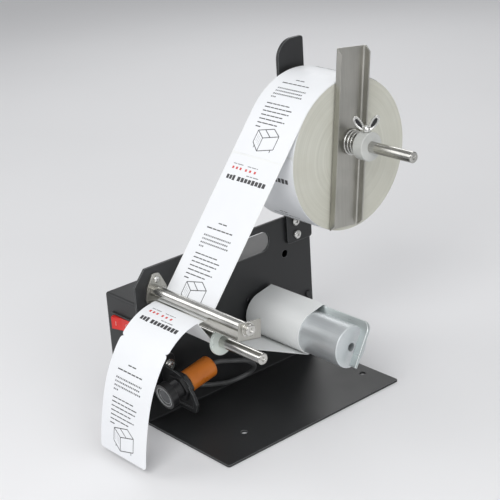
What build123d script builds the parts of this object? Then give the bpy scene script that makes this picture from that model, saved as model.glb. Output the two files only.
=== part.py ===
from build123d import *
from math import asin, atan2, cos, degrees, radians, sin, tan
import os

# Desktop label dispenser with a roll spindle, a peel blade and a motor-driven drum that winds up the liner.
# Millimetres. While modelling, x runs out from the side plate, y back from the front edge and z up from the
# top of the base sheet. Each part is written with the origin moved to the centre of the base's underside.

# Folded chassis
SHEET = 2.0
BASE_WIDTH = 111.0
BASE_DEPTH = 210.0
PLATE_HEIGHT = 145.4
BEND_INSIDE = 1.0
PLATE_CHAMFER_Y = 14.0
PLATE_CHAMFER_Z = 12.0
CORNER = 2.0
HANDLE_FRONT, HANDLE_BACK = 60.0, BASE_DEPTH - 52.0
HANDLE_BOTTOM, HANDLE_TOP = 118.7, 138.5
LIFT_HOLE_R = 3.75
LIFT_HOLE_Y, LIFT_HOLE_Z = BASE_DEPTH - 33.4, 108.6
BASE_HOLE_R = 3.0
BASE_HOLE_X = 77.5
BASE_HOLE_FRONT, BASE_HOLE_BACK = 47.0, BASE_DEPTH - 12.7

# Housing behind the plate
HOUSING_WIDTH = 44.6
HOUSING_TOP = 115.3
HOUSING_WALL = 1.2
HOUSING_EDGE = 2.5
TAB_WIDTH, TAB_HEIGHT = 12.0, 18.0
TAB_SCREW_INSET, TAB_SCREW_Z = 6.0, 58.0

# Clearances
HOLE_GAP = 0.05
SPIN_GAP = 0.3
SHEET_GAP = 0.3

# Upright arm and roll spindle
ARM_THICK = 3.0
ARM_FRONT, ARM_BACK = BASE_DEPTH - 31.4, BASE_DEPTH
ARM_BOTTOM, ARM_TOP = 118.0, 313.0
ARM_NOSE_R = 18.0
ARM_CORNER_R = 3.0
ARM_SCREW_PLACES = ((BASE_DEPTH - 19.5, 125.1), (BASE_DEPTH - 20.5, 138.7))
SPINDLE_Y, SPINDLE_Z = BASE_DEPTH - 15.7, 229.2
SPINDLE_R = 5.0
SPINDLE_END = 149.8
STUD_R = 4.0
STUD_LENGTH = 12.0
SPINDLE_WASHER_R, SPINDLE_WASHER_THICK = 8.0, 1.6
SPINDLE_NUT_AF, SPINDLE_NUT_THICK = 13.0, 6.5

# Screws: head radius, head height, shank radius
PAN_HEAD_R, PAN_HEAD_H, SHANK_R = 4.25, 2.8, 2.0
NUT_AF, NUT_THICK = 7.0, 3.2

# Supply roll and core
ROLL_LEFT, ROLL_RIGHT = 8.5, 73.5
ROLL_R = 69.4
CORE_BORE_R, CORE_R = 17.17, 20.0
CORE_PLAY = 0.17

# Roll retainer, spring and collar
RETAINER_GAP = 0.3
RETAINER_SHEET = 1.2
RETAINER_WIDTH = 36.0
RETAINER_LENGTH = 162.3
RETAINER_FLANGE = 7.6
RETAINER_BEND_R = 3.0
RETAINER_LEAN = 6.2
RETAINER_SHIFT, RETAINER_LIFT = -4.5, 3.35
RETAINER_CUT = 5.0
SPRING_R, SPRING_WIRE, SPRING_TURNS = 11.2, 1.5, 3.5
SPRING_LENGTH = 14.2
COLLAR_R, COLLAR_WIDTH = 13.0, 11.0
WING_SPAN, WING_TIP, WING_THICK = 22.0, 14.0, 2.2
WING_TURN = 45.0
WING_HUB_R, WING_SHANK_R = 3.6, 2.5

# Peel bracket: a U of stainless sheet with an ear at each end
BLADE_SHEET = 1.5
BLADE_BEND_R = 2.5
EAR_X = 123.0
BLADE_FRONT_Y, BLADE_FRONT_Z = 10.2, 116.1
BLADE_SLOPE = 11.5
BLADE_DEPTH = 24.5
BLADE_TIP, BLADE_BEVEL = 0.5, 3.0
LEFT_EAR_TOP = 139.4
LEFT_EAR_FRONT, LEFT_EAR_BACK = (19.1, LEFT_EAR_TOP), (26.2, LEFT_EAR_TOP - 1)
LEFT_EAR_HEEL, LEFT_EAR_CORNER_R = (33.1, 125.0), 3.0
RIGHT_EAR_FRONT, RIGHT_EAR_BACK = (12.2, 130.3), (35.4, 127.4)
EAR_REACH, EAR_TOE = 34.0, 12.0
EAR_SCREW_PLACES = ((22.7, 133.2), (28.8, 121.6))
EAR_SCREW_R, EAR_SCREW_H, EAR_SHANK_R = 2.9, 2.2, 1.5
EAR_NUT_AF, EAR_NUT_THICK = 5.5, 2.4

# Rods and guide disc
ROD_R = 5.0
ROD_CHAMFER = 0.8
UPPER_ROD_Y, UPPER_ROD_Z, UPPER_ROD_END = 20.3, 123.4, 128.0
LOWER_ROD_Y, LOWER_ROD_Z, LOWER_ROD_END = 29.5, 94.9, 130.0
CLIP_RING_R, CLIP_RING_THICK = 6.5, 1.0
DISC_R, DISC_LEFT, DISC_THICK = 12.3, 75.5, 3.5
ROD_SCREW_R, ROD_SCREW_HEAD_R, ROD_SCREW_HEAD_H, ROD_SCREW_LENGTH = 2.5, 4.5, 2.8, 14.0

# Strip: liner with labels on it
LINER_LEFT, LINER_RIGHT = ROLL_LEFT, ROLL_RIGHT
LABEL_INSET = 1.0
LINER_THICK, LABEL_THICK = 0.3, 0.25
EDGE_TURN_R = 0.9
LABEL_NOTCH = 2.6
LABEL_TAIL = 40.0
NEXT_LABEL_START = 140.0
LABEL_SPACE = 2.0
LABEL_CURVE = ((-4.6, 113.4), (-16.5, 106.6), (-26.0, 98.0), (-36.5, 83.5), (-45.0, 66.0),
               (-51.5, 44.0), (-55.5, 24.0), (-57.9, 5.3))
LABEL_HANG = (-0.12, -1.0)

# Rewind drum
DRUM_Y, DRUM_Z = 141.0, 61.7
DRUM_R, DRUM_LEFT, DRUM_RIGHT = 19.5, 3.0, 120.0
DRUM_BORE_R, DRUM_HUB = 4.0, 15.0
WOUND_R, WOUND_THICK = 20.6, 1.0
WOUND_LEFT, WOUND_RIGHT = 3.5, 73.0
CLIP_THICK = 3.0
CLIP_ANGLE = 60.0
CLIP_LEG_LOW, CLIP_LEG_HIGH = 18.6, 25.9
CLIP_LEFT, CLIP_RIGHT = 8.0, 131.4
CLIP_ARM_WIDTH, CLIP_ARM_END = 7.4, -16.0
CLIP_OUTER_R, CLIP_INNER_R = 8.0, 3.0

# Gear motor behind the plate
GEARBOX_R, GEARBOX_DEPTH, GEARBOX_OFFSET = 18.5, 19.0, 7.0
BOSS_R, BOSS_LENGTH = 6.0, 1.5
MOTOR_R, MOTOR_LENGTH = 13.8, 22.0
SHAFT_R = 3.0
MOTOR_SCREW_CIRCLE_R, MOTOR_SCREW_R, MOTOR_HEAD_R, MOTOR_HEAD_H = 16.2, 1.5, 2.8, 1.6

# Label sensor, an 18 mm threaded barrel tilted up towards its cable
SENSOR_X, SENSOR_Y, SENSOR_Z = 25.6, 2.0, 33.8
SENSOR_TILT = 11.5
BARREL_R, BARREL_START, BARREL_END = 9.0, 4.0, 30.0
BEZEL_R, BEZEL_THICK, BEZEL_LIP = 12.3, 7.0, 1.0
LENS_R, LENS_THICK = 8.25, 2.0
CAP_R, CAP_START, CAP_END, CAP_EDGE = 10.25, 25.7, 55.5, 2.5
SENSOR_NUT_AF, SENSOR_NUT_THICK = 24.0, 3.5

# Sensor bracket, in the sensor's own tilted frame
BRACKET_SHEET = 1.5
BRACKET_PLACE = 19.0
BRACKET_TAB_LOW, BRACKET_TAB_HIGH, BRACKET_TAB_BACK = 2.0, 18.5, 36.0
BRACKET_SCREW_S, BRACKET_SCREW_T = 28.7, 8.0
BRACKET_RIM = 4.5
BRACKET_RIM_HIGH = 1.2
BRACKET_WASHER_R, BRACKET_WASHER_THICK = 5.8, 0.8

# Sensor cable
CABLE_R = 1.8
CABLE_POINTS = (
    (25.6, 62.2, 46.1),
    (25.6, 71.0, 43.3),
    (25.6, 80.8, 40.0),
    (25.6, 90.5, 36.9),
    (25.6, 98.4, 33.6),
    (24.9, 105.4, 29.0),
    (22.4, 110.9, 23.4),
    (18.3, 113.2, 17.2),
    (13.5, 111.2, 11.9),
    (9.8, 105.4, 8.8),
    (8.2, 97.3, 8.1),
    (8.2, 87.4, 8.9),
    (9.6, 76.0, 12.8),
    (11.2, 65.2, 16.6),
    (9.6, 57.6, 18.8),
    (5.9, 51.5, 19.9),
)
GROMMET_END = (2.4, 49.0, 20.2)
GROMMET_R, GROMMET_FLANGE_R, GROMMET_FLANGE = 3.2, 5.2, 1.0

# Power switch on the front of the housing
SWITCH_Z = 91.5
SWITCH_FLANGE_W, SWITCH_FLANGE_H, SWITCH_FLANGE_T = 30.0, 15.0, 2.0
SWITCH_BODY_W, SWITCH_BODY_H, SWITCH_BODY_DEPTH = 27.6, 13.4, 16.0
ROCKER_R, ROCKER_H, ROCKER_SWING = 12.3, 11.4, 22.0
ROCKER_PIVOT_Y = 0.5
ROCKER_CROWN, ROCKER_DIP = 4.2, 2.8
ROCKER_PIN_R, ROCKER_PIN = 1.2, 0.6

# Control board and power inlet
BOARD_FRONT, BOARD_BACK = 20.0, 90.0
BOARD_LOW, BOARD_HIGH = 30.0, 75.0
BOARD_THICK, STANDOFF = 1.6, 8.0
STANDOFF_R = 2.8
JACK_R, JACK_FLANGE_R, JACK_DEPTH, JACK_Z = 5.5, 7.0, 12.0, 25.0

os.makedirs("parts", exist_ok=True)

ORIGIN = (-(BASE_WIDTH - SHEET) / 2, -BASE_DEPTH / 2, SHEET)
HOUSING_X = -SHEET - HOUSING_WIDTH
SWITCH_X = -SHEET - HOUSING_WIDTH / 2 + 2.8


def save(name, *solids):
    """Write one part in the shared frame."""
    moved = [Pos(*ORIGIN) * solid for solid in solids]
    shape = moved[0] if len(moved) == 1 else Compound(children=moved)
    export_step(shape, f"parts/{name}.step")


def bar(radius, x0, x1, y, z):
    """A round bar along x."""
    return Pos((x0 + x1) / 2, y, z) * Rot(0, 90, 0) * Cylinder(radius, x1 - x0)


def slab(face, x0, x1):
    """A (y, z) outline made solid from x0 to x1."""
    return extrude(Plane.YZ.offset(x0) * face, amount=x1 - x0)


def outline(*points, radius=0.0):
    """A closed (y, z) outline with every corner rounded alike."""
    face = make_face(Polyline(*points, close=True))
    return fillet(face.vertices(), radius) if radius else face


def hexagon(across_flats, x0, x1, y, z):
    """A hexagonal nut blank along x."""
    face = Pos(y, z) * RegularPolygon(across_flats / 2, 6, major_radius=False)
    return slab(face, x0, x1)


def rod(radius, x0, x1, y, z, chamfer_size):
    """A round rod with a chamfered free end at x1."""
    body = bar(radius, x0, x1, y, z)
    return chamfer(body.edges().sort_by(Axis.X)[-1:], chamfer_size)


def screw(head_r, head_h, shank_r, length, seat_x, y, z):
    """A pan-head screw seated on the plane x = seat_x, with its shank towards -x."""
    head = bar(head_r, seat_x, seat_x + head_h, y, z)
    head = fillet(head.edges().sort_by(Axis.X)[-1:], head_h * 0.6)
    return head + bar(shank_r, seat_x - length, seat_x, y, z)


def nut(across_flats, thick, bore_r, x1, y, z):
    """A nut that bears on the plane x = x1 from the -x side."""
    return hexagon(across_flats, x1 - thick, x1, y, z) - bar(bore_r, x1 - thick, x1, y, z)


# Tangent lines of the strip. A wheel is (y, z, radius): the radius is positive where the wheel lies on the
# left of the moving strip, and negative where it lies on the right.

def tangent(first, second):
    """End points of the line that leaves the first wheel and reaches the second."""
    dy, dz = second[0] - first[0], second[1] - first[1]
    span = (dy * dy + dz * dz) ** 0.5
    heading = atan2(dz, dy) - asin((second[2] - first[2]) / span)
    left = (-sin(heading), cos(heading))
    start = (first[0] - first[2] * left[0], first[1] - first[2] * left[1])
    end = (second[0] - second[2] * left[0], second[1] - second[2] * left[1])
    return start, end


def crossing(line_a, line_b):
    """Where two lines meet."""
    (ay, az), (by, bz) = line_a
    (cy, cz), (dy, dz) = line_b
    uy, uz, vy, vz = by - ay, bz - az, dy - cy, dz - cz
    along = ((cy - ay) * vz - (cz - az) * vy) / (uy * vz - uz * vy)
    return ay + along * uy, az + along * uz


def strip_path(wheels, first=None, last=None):
    """The strip's reference line: straight runs between wheels, round each inner wheel."""
    lines = [tangent(a, b) for a, b in zip(wheels, wheels[1:])]
    corners = [crossing(a, b) for a, b in zip(lines, lines[1:])]
    radii = [abs(wheel[2]) for wheel in wheels[1:-1]]
    return FilletPolyline(first or lines[0][0], *corners, last or lines[-1][1], radius=radii)


def layer(path, thick, side):
    """A flat-ended band of one thickness on one side of an open path."""
    return make_face(offset(path, amount=thick, side=side))


def blade_point(back, up):
    """A point measured back along the blade from its front edge, and up from its top face."""
    slope = radians(BLADE_SLOPE)
    return (BLADE_FRONT_Y + back * cos(slope) + up * sin(slope), BLADE_FRONT_Z - back * sin(slope) + up * cos(slope))


# Wheels of the strip's reference line, which is the joint between liner and labels
ROLL_Z = SPINDLE_Z + SPINDLE_R + CORE_PLAY - CORE_BORE_R
ROLL_WHEEL = (SPINDLE_Y, ROLL_Z, ROLL_R + SPIN_GAP + LINER_THICK)
ROD_WHEEL = (UPPER_ROD_Y, UPPER_ROD_Z, -(ROD_R + SHEET_GAP + LABEL_THICK))
EDGE_WHEEL = (*blade_point(BLADE_TIP, -BLADE_TIP / 2), EDGE_TURN_R + LINER_THICK)
GUIDE_WHEEL = (LOWER_ROD_Y, LOWER_ROD_Z, ROD_R + SHEET_GAP + LINER_THICK)
WOUND_WHEEL = (DRUM_Y, DRUM_Z, WOUND_R + SPIN_GAP + LINER_THICK)


def between(line, share):
    """A point part of the way along a line."""
    (ay, az), (by, bz) = line
    return ay + share * (by - ay), az + share * (bz - az)


def liner_split():
    """Where the strip's two lengths meet, just before the peel edge."""
    return between(tangent(ROD_WHEEL, EDGE_WHEEL), 0.6)


def make_chassis():
    points = ((-SHEET, PLATE_HEIGHT), (-SHEET, -SHEET), (BASE_WIDTH, -SHEET), (BASE_WIDTH, 0), (0, 0),
              (0, PLATE_HEIGHT))
    profile = make_face(Polyline(*points, close=True))
    profile = fillet(profile.vertices().sort_by_distance((0, 0))[:1], BEND_INSIDE)
    profile = fillet(profile.vertices().sort_by_distance((-SHEET, -SHEET))[:1], BEND_INSIDE + SHEET)
    body = extrude(Plane.XZ * profile, amount=-BASE_DEPTH)
    top_corners = body.edges().filter_by(Axis.X).group_by(Axis.Z)[-1].sort_by(Axis.Y)
    body = chamfer(top_corners[:1], PLATE_CHAMFER_Z, PLATE_CHAMFER_Y)
    corners = body.edges().filter_by(Axis.X).group_by(Axis.Z)[-1].sort_by(Axis.Y)[-1:]
    corners += body.edges().filter_by(Axis.Z).sort_by(Axis.X)[-2:]
    body = fillet(corners, CORNER)
    handle = Pos((HANDLE_FRONT + HANDLE_BACK) / 2, (HANDLE_BOTTOM + HANDLE_TOP) / 2) * SlotOverall(
        HANDLE_BACK - HANDLE_FRONT, HANDLE_TOP - HANDLE_BOTTOM)
    body -= slab(handle, -SHEET, 0)
    for y, z, radius in plate_holes():
        body -= bar(radius, -SHEET, 0, y, z)
    for y in (BASE_HOLE_FRONT, BASE_HOLE_BACK):
        body -= Pos(BASE_HOLE_X, y, -SHEET / 2) * Cylinder(BASE_HOLE_R, SHEET)
    return body


def plate_holes():
    """Every round hole in the side plate, as (y, z, radius)."""
    holes = [(LIFT_HOLE_Y, LIFT_HOLE_Z, LIFT_HOLE_R), (DRUM_Y, DRUM_Z, BOSS_R + 2 * HOLE_GAP)]
    holes += [(y, z, SHANK_R + HOLE_GAP) for y, z in ARM_SCREW_PLACES]
    holes += [(y, TAB_SCREW_Z, SHANK_R + HOLE_GAP) for y in tab_screw_rows()]
    holes += [(y, z, EAR_SHANK_R + HOLE_GAP) for y, z in EAR_SCREW_PLACES]
    holes += [(y, z, MOTOR_SCREW_R + HOLE_GAP) for y, z in motor_screw_places()]
    holes += [(y, z, ROD_SCREW_R + HOLE_GAP) for y, z in rod_axes()]
    holes += [(*bracket_screw_place(), SHANK_R + HOLE_GAP)]
    holes += [(GROMMET_END[1], GROMMET_END[2], GROMMET_R + HOLE_GAP)]
    return holes


def tab_screw_rows():
    return TAB_SCREW_INSET, BASE_DEPTH - TAB_SCREW_INSET


def rod_axes():
    return (UPPER_ROD_Y, UPPER_ROD_Z), (LOWER_ROD_Y, LOWER_ROD_Z)


def gearbox_axis():
    return DRUM_Y, DRUM_Z + GEARBOX_OFFSET


def motor_screw_places():
    y, z = gearbox_axis()
    return [(y + MOTOR_SCREW_CIRCLE_R * cos(radians(a)), z + MOTOR_SCREW_CIRCLE_R * sin(radians(a)))
            for a in (30, 150, 270)]


def bracket_screw_place():
    tilt = radians(SENSOR_TILT)
    return (SENSOR_Y + BRACKET_SCREW_S * cos(tilt) - BRACKET_SCREW_T * sin(tilt),
            SENSOR_Z + BRACKET_SCREW_S * sin(tilt) + BRACKET_SCREW_T * cos(tilt))


def make_housing():
    size = (HOUSING_WIDTH, BASE_DEPTH, HOUSING_TOP + SHEET)
    middle = (HOUSING_X + size[0] / 2, size[1] / 2, (HOUSING_TOP - SHEET) / 2)
    body = Pos(*middle) * Box(*size)
    face = body.faces().sort_by(Axis.X)[-1]
    body = fillet(body.edges() - face.edges(), HOUSING_EDGE)
    inside = [length - 2 * HOUSING_WALL for length in size]
    hollow = Pos(middle[0] + HOUSING_WALL, middle[1], middle[2]) * Box(inside[0] + 2 * HOUSING_WALL, *inside[1:])
    face = hollow.faces().sort_by(Axis.X)[-1]
    body -= fillet(hollow.edges() - face.edges(), HOUSING_EDGE - HOUSING_WALL)
    for y0, y1 in ((HOUSING_WALL, TAB_WIDTH), (BASE_DEPTH - TAB_WIDTH, BASE_DEPTH - HOUSING_WALL)):
        low, high = TAB_SCREW_Z - TAB_HEIGHT / 2, TAB_SCREW_Z + TAB_HEIGHT / 2
        tab = outline((y0, low), (y1, low), (y1, high), (y0, high))
        body += slab(tab, -SHEET - HOUSING_WALL, -SHEET)
    for y in tab_screw_rows():
        body -= bar(SHANK_R + HOLE_GAP, -SHEET - HOUSING_WALL, -SHEET, y, TAB_SCREW_Z)
    body -= Pos(SWITCH_X, HOUSING_WALL / 2, SWITCH_Z) * Box(SWITCH_BODY_W, HOUSING_WALL, SWITCH_BODY_H)
    body -= Pos(SWITCH_X, BASE_DEPTH - HOUSING_WALL / 2, JACK_Z) * Rot(90, 0, 0) * Cylinder(JACK_R, HOUSING_WALL)
    return body


def make_arm():
    face = outline((ARM_FRONT, ARM_BOTTOM), (ARM_BACK, ARM_BOTTOM), (ARM_BACK, ARM_TOP), (ARM_FRONT, ARM_TOP))
    face = fillet(face.vertices().sort_by_distance((ARM_FRONT, ARM_TOP))[:1], ARM_NOSE_R)
    sharp = face.vertices().sort_by_distance((ARM_BACK, ARM_BOTTOM))[:2] + face.vertices().sort_by_distance(
        (ARM_BACK, ARM_TOP))[:1]
    body = slab(fillet(sharp, ARM_CORNER_R), 0, ARM_THICK)
    for y, z in ARM_SCREW_PLACES:
        body -= bar(SHANK_R + HOLE_GAP, 0, ARM_THICK, y, z)
    return body - bar(STUD_R + HOLE_GAP, 0, ARM_THICK, SPINDLE_Y, SPINDLE_Z)


def make_spindle():
    body = rod(SPINDLE_R, ARM_THICK, SPINDLE_END, SPINDLE_Y, SPINDLE_Z, ROD_CHAMFER)
    return body + bar(STUD_R, ARM_THICK - STUD_LENGTH, ARM_THICK, SPINDLE_Y, SPINDLE_Z)


def make_spindle_washer():
    x0 = -SPINDLE_WASHER_THICK
    return bar(SPINDLE_WASHER_R, x0, 0, SPINDLE_Y, SPINDLE_Z) - bar(STUD_R + HOLE_GAP, x0, 0, SPINDLE_Y, SPINDLE_Z)


def make_roll(outer, bore):
    return bar(outer, ROLL_LEFT, ROLL_RIGHT, SPINDLE_Y, ROLL_Z) - bar(bore, ROLL_LEFT, ROLL_RIGHT, SPINDLE_Y, ROLL_Z)


RETAINER_LEFT = ROLL_RIGHT + RETAINER_GAP
SPRING_LEFT = RETAINER_LEFT + RETAINER_SHEET + SPIN_GAP
COLLAR_LEFT = SPRING_LEFT + SPRING_LENGTH


def make_retainer():
    half, deep = RETAINER_WIDTH / 2, RETAINER_FLANGE
    path = FilletPolyline((deep, -half), (0, -half), (0, half), (deep, half), radius=RETAINER_BEND_R)
    section = layer(path, RETAINER_SHEET, Side.RIGHT)
    if section.bounding_box().min.X < -0.1:
        section = layer(path, RETAINER_SHEET, Side.LEFT)
    body = extrude(section, amount=RETAINER_LENGTH / 2, both=True)
    corner = make_face(Polyline((deep, 0), (deep - RETAINER_CUT, 0), (deep, -RETAINER_CUT), close=True))
    cutter = extrude(Plane.XZ * corner, amount=half, both=True)
    body -= Pos(0, 0, RETAINER_LENGTH / 2) * cutter
    body -= Pos(0, 0, -RETAINER_LENGTH / 2) * Rot(180, 0, 0) * cutter
    body = Pos(0, RETAINER_SHIFT, RETAINER_LIFT) * body
    body -= Rot(0, 90, 0) * Cylinder(SPINDLE_R + SPIN_GAP, 4 * RETAINER_SHEET)
    return Pos(RETAINER_LEFT, SPINDLE_Y, SPINDLE_Z) * Rot(-RETAINER_LEAN, 0, 0) * body


def make_spring():
    rise = SPRING_LENGTH - SPRING_WIRE - SPIN_GAP
    path = Helix(rise / SPRING_TURNS, rise, SPRING_R)
    wire = Plane(origin=path @ 0, z_dir=path % 0) * Circle(SPRING_WIRE / 2)
    body = sweep(wire, path=path, is_frenet=True)
    return Pos(SPRING_LEFT + SPRING_WIRE / 2, SPINDLE_Y, SPINDLE_Z) * Rot(0, 90, 0) * body


def wing_axis():
    return COLLAR_LEFT + COLLAR_WIDTH / 2


def make_collar():
    body = bar(COLLAR_R, COLLAR_LEFT, COLLAR_LEFT + COLLAR_WIDTH, SPINDLE_Y, SPINDLE_Z)
    body = fillet(body.edges().filter_by(GeomType.CIRCLE), 0.8)
    body -= bar(SPINDLE_R + HOLE_GAP, COLLAR_LEFT, COLLAR_LEFT + COLLAR_WIDTH, SPINDLE_Y, SPINDLE_Z)
    return body - Pos(wing_axis(), SPINDLE_Y, SPINDLE_Z + COLLAR_R / 2 + 2) * Cylinder(WING_SHANK_R + HOLE_GAP, COLLAR_R)


def make_wing_screw():
    foot, top = SPINDLE_R + SPIN_GAP, COLLAR_R + SPIN_GAP
    shank = Pos(0, 0, (foot + top) / 2) * Cylinder(WING_SHANK_R, top - foot)
    hub = Pos(0, 0, top + 2.5) * Cylinder(WING_HUB_R, 5)
    hub = fillet(hub.edges().sort_by(Axis.Z)[-1:], 1.2)
    tip = COLLAR_R + WING_TIP
    half = WING_SPAN / 2
    wing = make_face(Polyline((0, top + 0.5), (4, top + 1), (half, tip - 3.5), (half - 1.5, tip),
                              (half - 5.5, tip - 1.5), (0, top + 4.5), close=True))
    wing = fillet(wing.vertices().sort_by(Axis.X)[2:], 1.2)
    blade = extrude(Plane.XZ * wing, amount=WING_THICK / 2, both=True)
    wings = blade + mirror(blade, Plane.YZ)
    return Pos(wing_axis(), SPINDLE_Y, SPINDLE_Z) * Rot(0, 0, WING_TURN) * (shank + hub + wings)


def make_peel_bracket():
    corners = ((0, EAR_REACH), (0, -BLADE_SHEET), (EAR_X, -BLADE_SHEET), (EAR_X, EAR_REACH))
    path = FilletPolyline(*corners, radius=BLADE_BEND_R)
    section = layer(path, BLADE_SHEET, Side.LEFT)
    plane = Plane(origin=(0, *blade_point(0, 0)), x_dir=(1, 0, 0),
                  z_dir=(0, -cos(radians(BLADE_SLOPE)), sin(radians(BLADE_SLOPE))))
    body = extrude(plane * section, amount=-(BLADE_DEPTH + 10)) + extrude(plane * section, amount=4)
    low = -BLADE_SHEET - 0.01
    left = outline(blade_point(0, low), blade_point(0, EAR_TOE), LEFT_EAR_FRONT, LEFT_EAR_BACK, LEFT_EAR_HEEL,
                   blade_point(BLADE_DEPTH, 2), blade_point(BLADE_DEPTH, low))
    left = fillet(left.vertices().sort_by(Axis.Y)[-2:], LEFT_EAR_CORNER_R)
    right = outline(blade_point(0, low), RIGHT_EAR_FRONT, RIGHT_EAR_BACK, blade_point(BLADE_DEPTH, low))
    middle = outline(blade_point(0, low), blade_point(0, 2), blade_point(BLADE_DEPTH, 2), blade_point(BLADE_DEPTH, low))
    bend = BLADE_BEND_R
    keep = slab(left, 0, bend) + slab(middle, bend, EAR_X - bend) + slab(right, EAR_X - bend, EAR_X)
    body = body & keep
    bevel = outline(blade_point(-0.01, low), blade_point(BLADE_BEVEL, low), blade_point(-0.01, -BLADE_TIP))
    body -= slab(bevel, bend, EAR_X - bend)
    for x0, x1 in ((0, BLADE_SHEET), (EAR_X - BLADE_SHEET, EAR_X)):
        body -= bar(ROD_R + HOLE_GAP, x0, x1, UPPER_ROD_Y, UPPER_ROD_Z)
    for y, z in EAR_SCREW_PLACES:
        body -= bar(EAR_SHANK_R + HOLE_GAP, 0, BLADE_SHEET, y, z)
    return body


def make_rod(end, y, z):
    body = rod(ROD_R, 0, end, y, z, ROD_CHAMFER)
    return body - bar(ROD_SCREW_R + HOLE_GAP, 0, ROD_SCREW_LENGTH, y, z)


def make_rod_screw(y, z):
    body = screw(ROD_SCREW_HEAD_R, ROD_SCREW_HEAD_H, ROD_SCREW_R, ROD_SCREW_LENGTH, 0, 0, 0)
    return Pos(-SHEET, y, z) * Rot(0, 0, 180) * body


def make_rod_clip():
    x0 = EAR_X + HOLE_GAP
    ring = bar(CLIP_RING_R, x0, x0 + CLIP_RING_THICK, UPPER_ROD_Y, UPPER_ROD_Z)
    ring -= bar(ROD_R + HOLE_GAP, x0, x0 + CLIP_RING_THICK, UPPER_ROD_Y, UPPER_ROD_Z)
    mouth = Pos(x0 + CLIP_RING_THICK / 2, UPPER_ROD_Y, UPPER_ROD_Z - CLIP_RING_R) * Box(CLIP_RING_THICK, 6, 8)
    return ring - mouth


def make_guide_disc():
    x1 = DISC_LEFT + DISC_THICK
    body = bar(DISC_R, DISC_LEFT, x1, LOWER_ROD_Y, LOWER_ROD_Z)
    body = fillet(body.edges().filter_by(GeomType.CIRCLE), 0.8)
    return body - bar(ROD_R + HOLE_GAP, DISC_LEFT, x1, LOWER_ROD_Y, LOWER_ROD_Z)


def make_liner():
    """From the roll, under the upper rod and forward to the peel edge."""
    path = strip_path((ROLL_WHEEL, ROD_WHEEL, EDGE_WHEEL), last=liner_split())
    return slab(layer(path, LINER_THICK, Side.LEFT), LINER_LEFT, LINER_RIGHT)


def make_web_labels():
    """The labels still on the liner, with the gap between two labels cut out."""
    path = strip_path((ROLL_WHEEL, ROD_WHEEL, EDGE_WHEEL))
    left, right = LINER_LEFT + LABEL_INSET, LINER_RIGHT - LABEL_INSET
    band = slab(layer(path, LABEL_THICK, Side.RIGHT), left, right)
    start, end = tangent(ROLL_WHEEL, ROD_WHEEL)
    run = ((end[0] - start[0]) ** 2 + (end[1] - start[1]) ** 2) ** 0.5
    middle = between((end, start), NEXT_LABEL_START / run)
    heading = degrees(atan2(end[1] - start[1], end[0] - start[0]))
    gap = Pos(*middle) * Rot(0, 0, heading) * Rectangle(LABEL_SPACE, 4)
    return band - slab(gap, left, right)


def make_liner_return():
    """From the peel edge back under the blade, round the lower rod and to the drum."""
    path = strip_path((ROD_WHEEL, EDGE_WHEEL, GUIDE_WHEEL, WOUND_WHEEL), first=liner_split())
    return slab(layer(path, LINER_THICK, Side.LEFT), LINER_LEFT, LINER_RIGHT)


def beside(path, share, distance):
    """A point on the right-hand side of a path in its plane."""
    here, way = path @ share, path % share
    return here.X + distance * way.Y, here.Y - distance * way.X


def make_peeled_label():
    """The label that has left the blade and hangs in front."""
    leaving = tangent(ROD_WHEEL, EDGE_WHEEL)
    start = between(leaving, 1.02)
    heading = (leaving[1][0] - leaving[0][0], leaving[1][1] - leaving[0][1])
    path = Spline(start, *LABEL_CURVE, tangents=(heading, LABEL_HANG))
    shares = [i / len(LABEL_CURVE) for i in range(len(LABEL_CURVE) + 1)]
    outer = [beside(path, share, LABEL_THICK) for share in shares]
    skin = Spline(*outer, tangents=(heading, LABEL_HANG))
    face = make_face([path, skin, Line(path @ 0, skin @ 0), Line(path @ 1, skin @ 1)])
    left, right = LINER_LEFT + LABEL_INSET, LINER_RIGHT - LABEL_INSET
    body = slab(face, left, right)
    share = LABEL_TAIL / path.length
    here, way = path @ share, path % share
    for x in (left, right):
        turn = Rot(degrees(atan2(way.Y, way.X)), 0, 0) * Rot(0, 0, 45)
        body -= Pos(x, here.X, here.Y) * turn * Box(LABEL_NOTCH, LABEL_NOTCH, 8)
    return body


def drum_plane(along):
    """The clip's plane: local x along the drum, local y out along the clip's leg, shifted across its thickness."""
    turn = radians(CLIP_ANGLE)
    across = Vector(0, sin(turn), -cos(turn))
    return Plane(origin=Vector(0, DRUM_Y, DRUM_Z) + across * along, x_dir=(1, 0, 0), z_dir=-across)


def make_clip():
    points = ((CLIP_LEFT, CLIP_LEG_LOW), (CLIP_LEFT, CLIP_LEG_HIGH), (CLIP_RIGHT, CLIP_LEG_HIGH),
              (CLIP_RIGHT, CLIP_ARM_END), (CLIP_RIGHT - CLIP_ARM_WIDTH, CLIP_ARM_END),
              (CLIP_RIGHT - CLIP_ARM_WIDTH, CLIP_LEG_LOW))
    face = make_face(Polyline(*points, close=True))
    face = fillet(face.vertices().sort_by_distance((CLIP_RIGHT, CLIP_LEG_HIGH))[:1], CLIP_OUTER_R)
    inner = (CLIP_RIGHT - CLIP_ARM_WIDTH, CLIP_LEG_LOW)
    face = fillet(face.vertices().sort_by_distance(inner)[:1], CLIP_INNER_R)
    return extrude(drum_plane(CLIP_THICK) * face, amount=CLIP_THICK)


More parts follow.
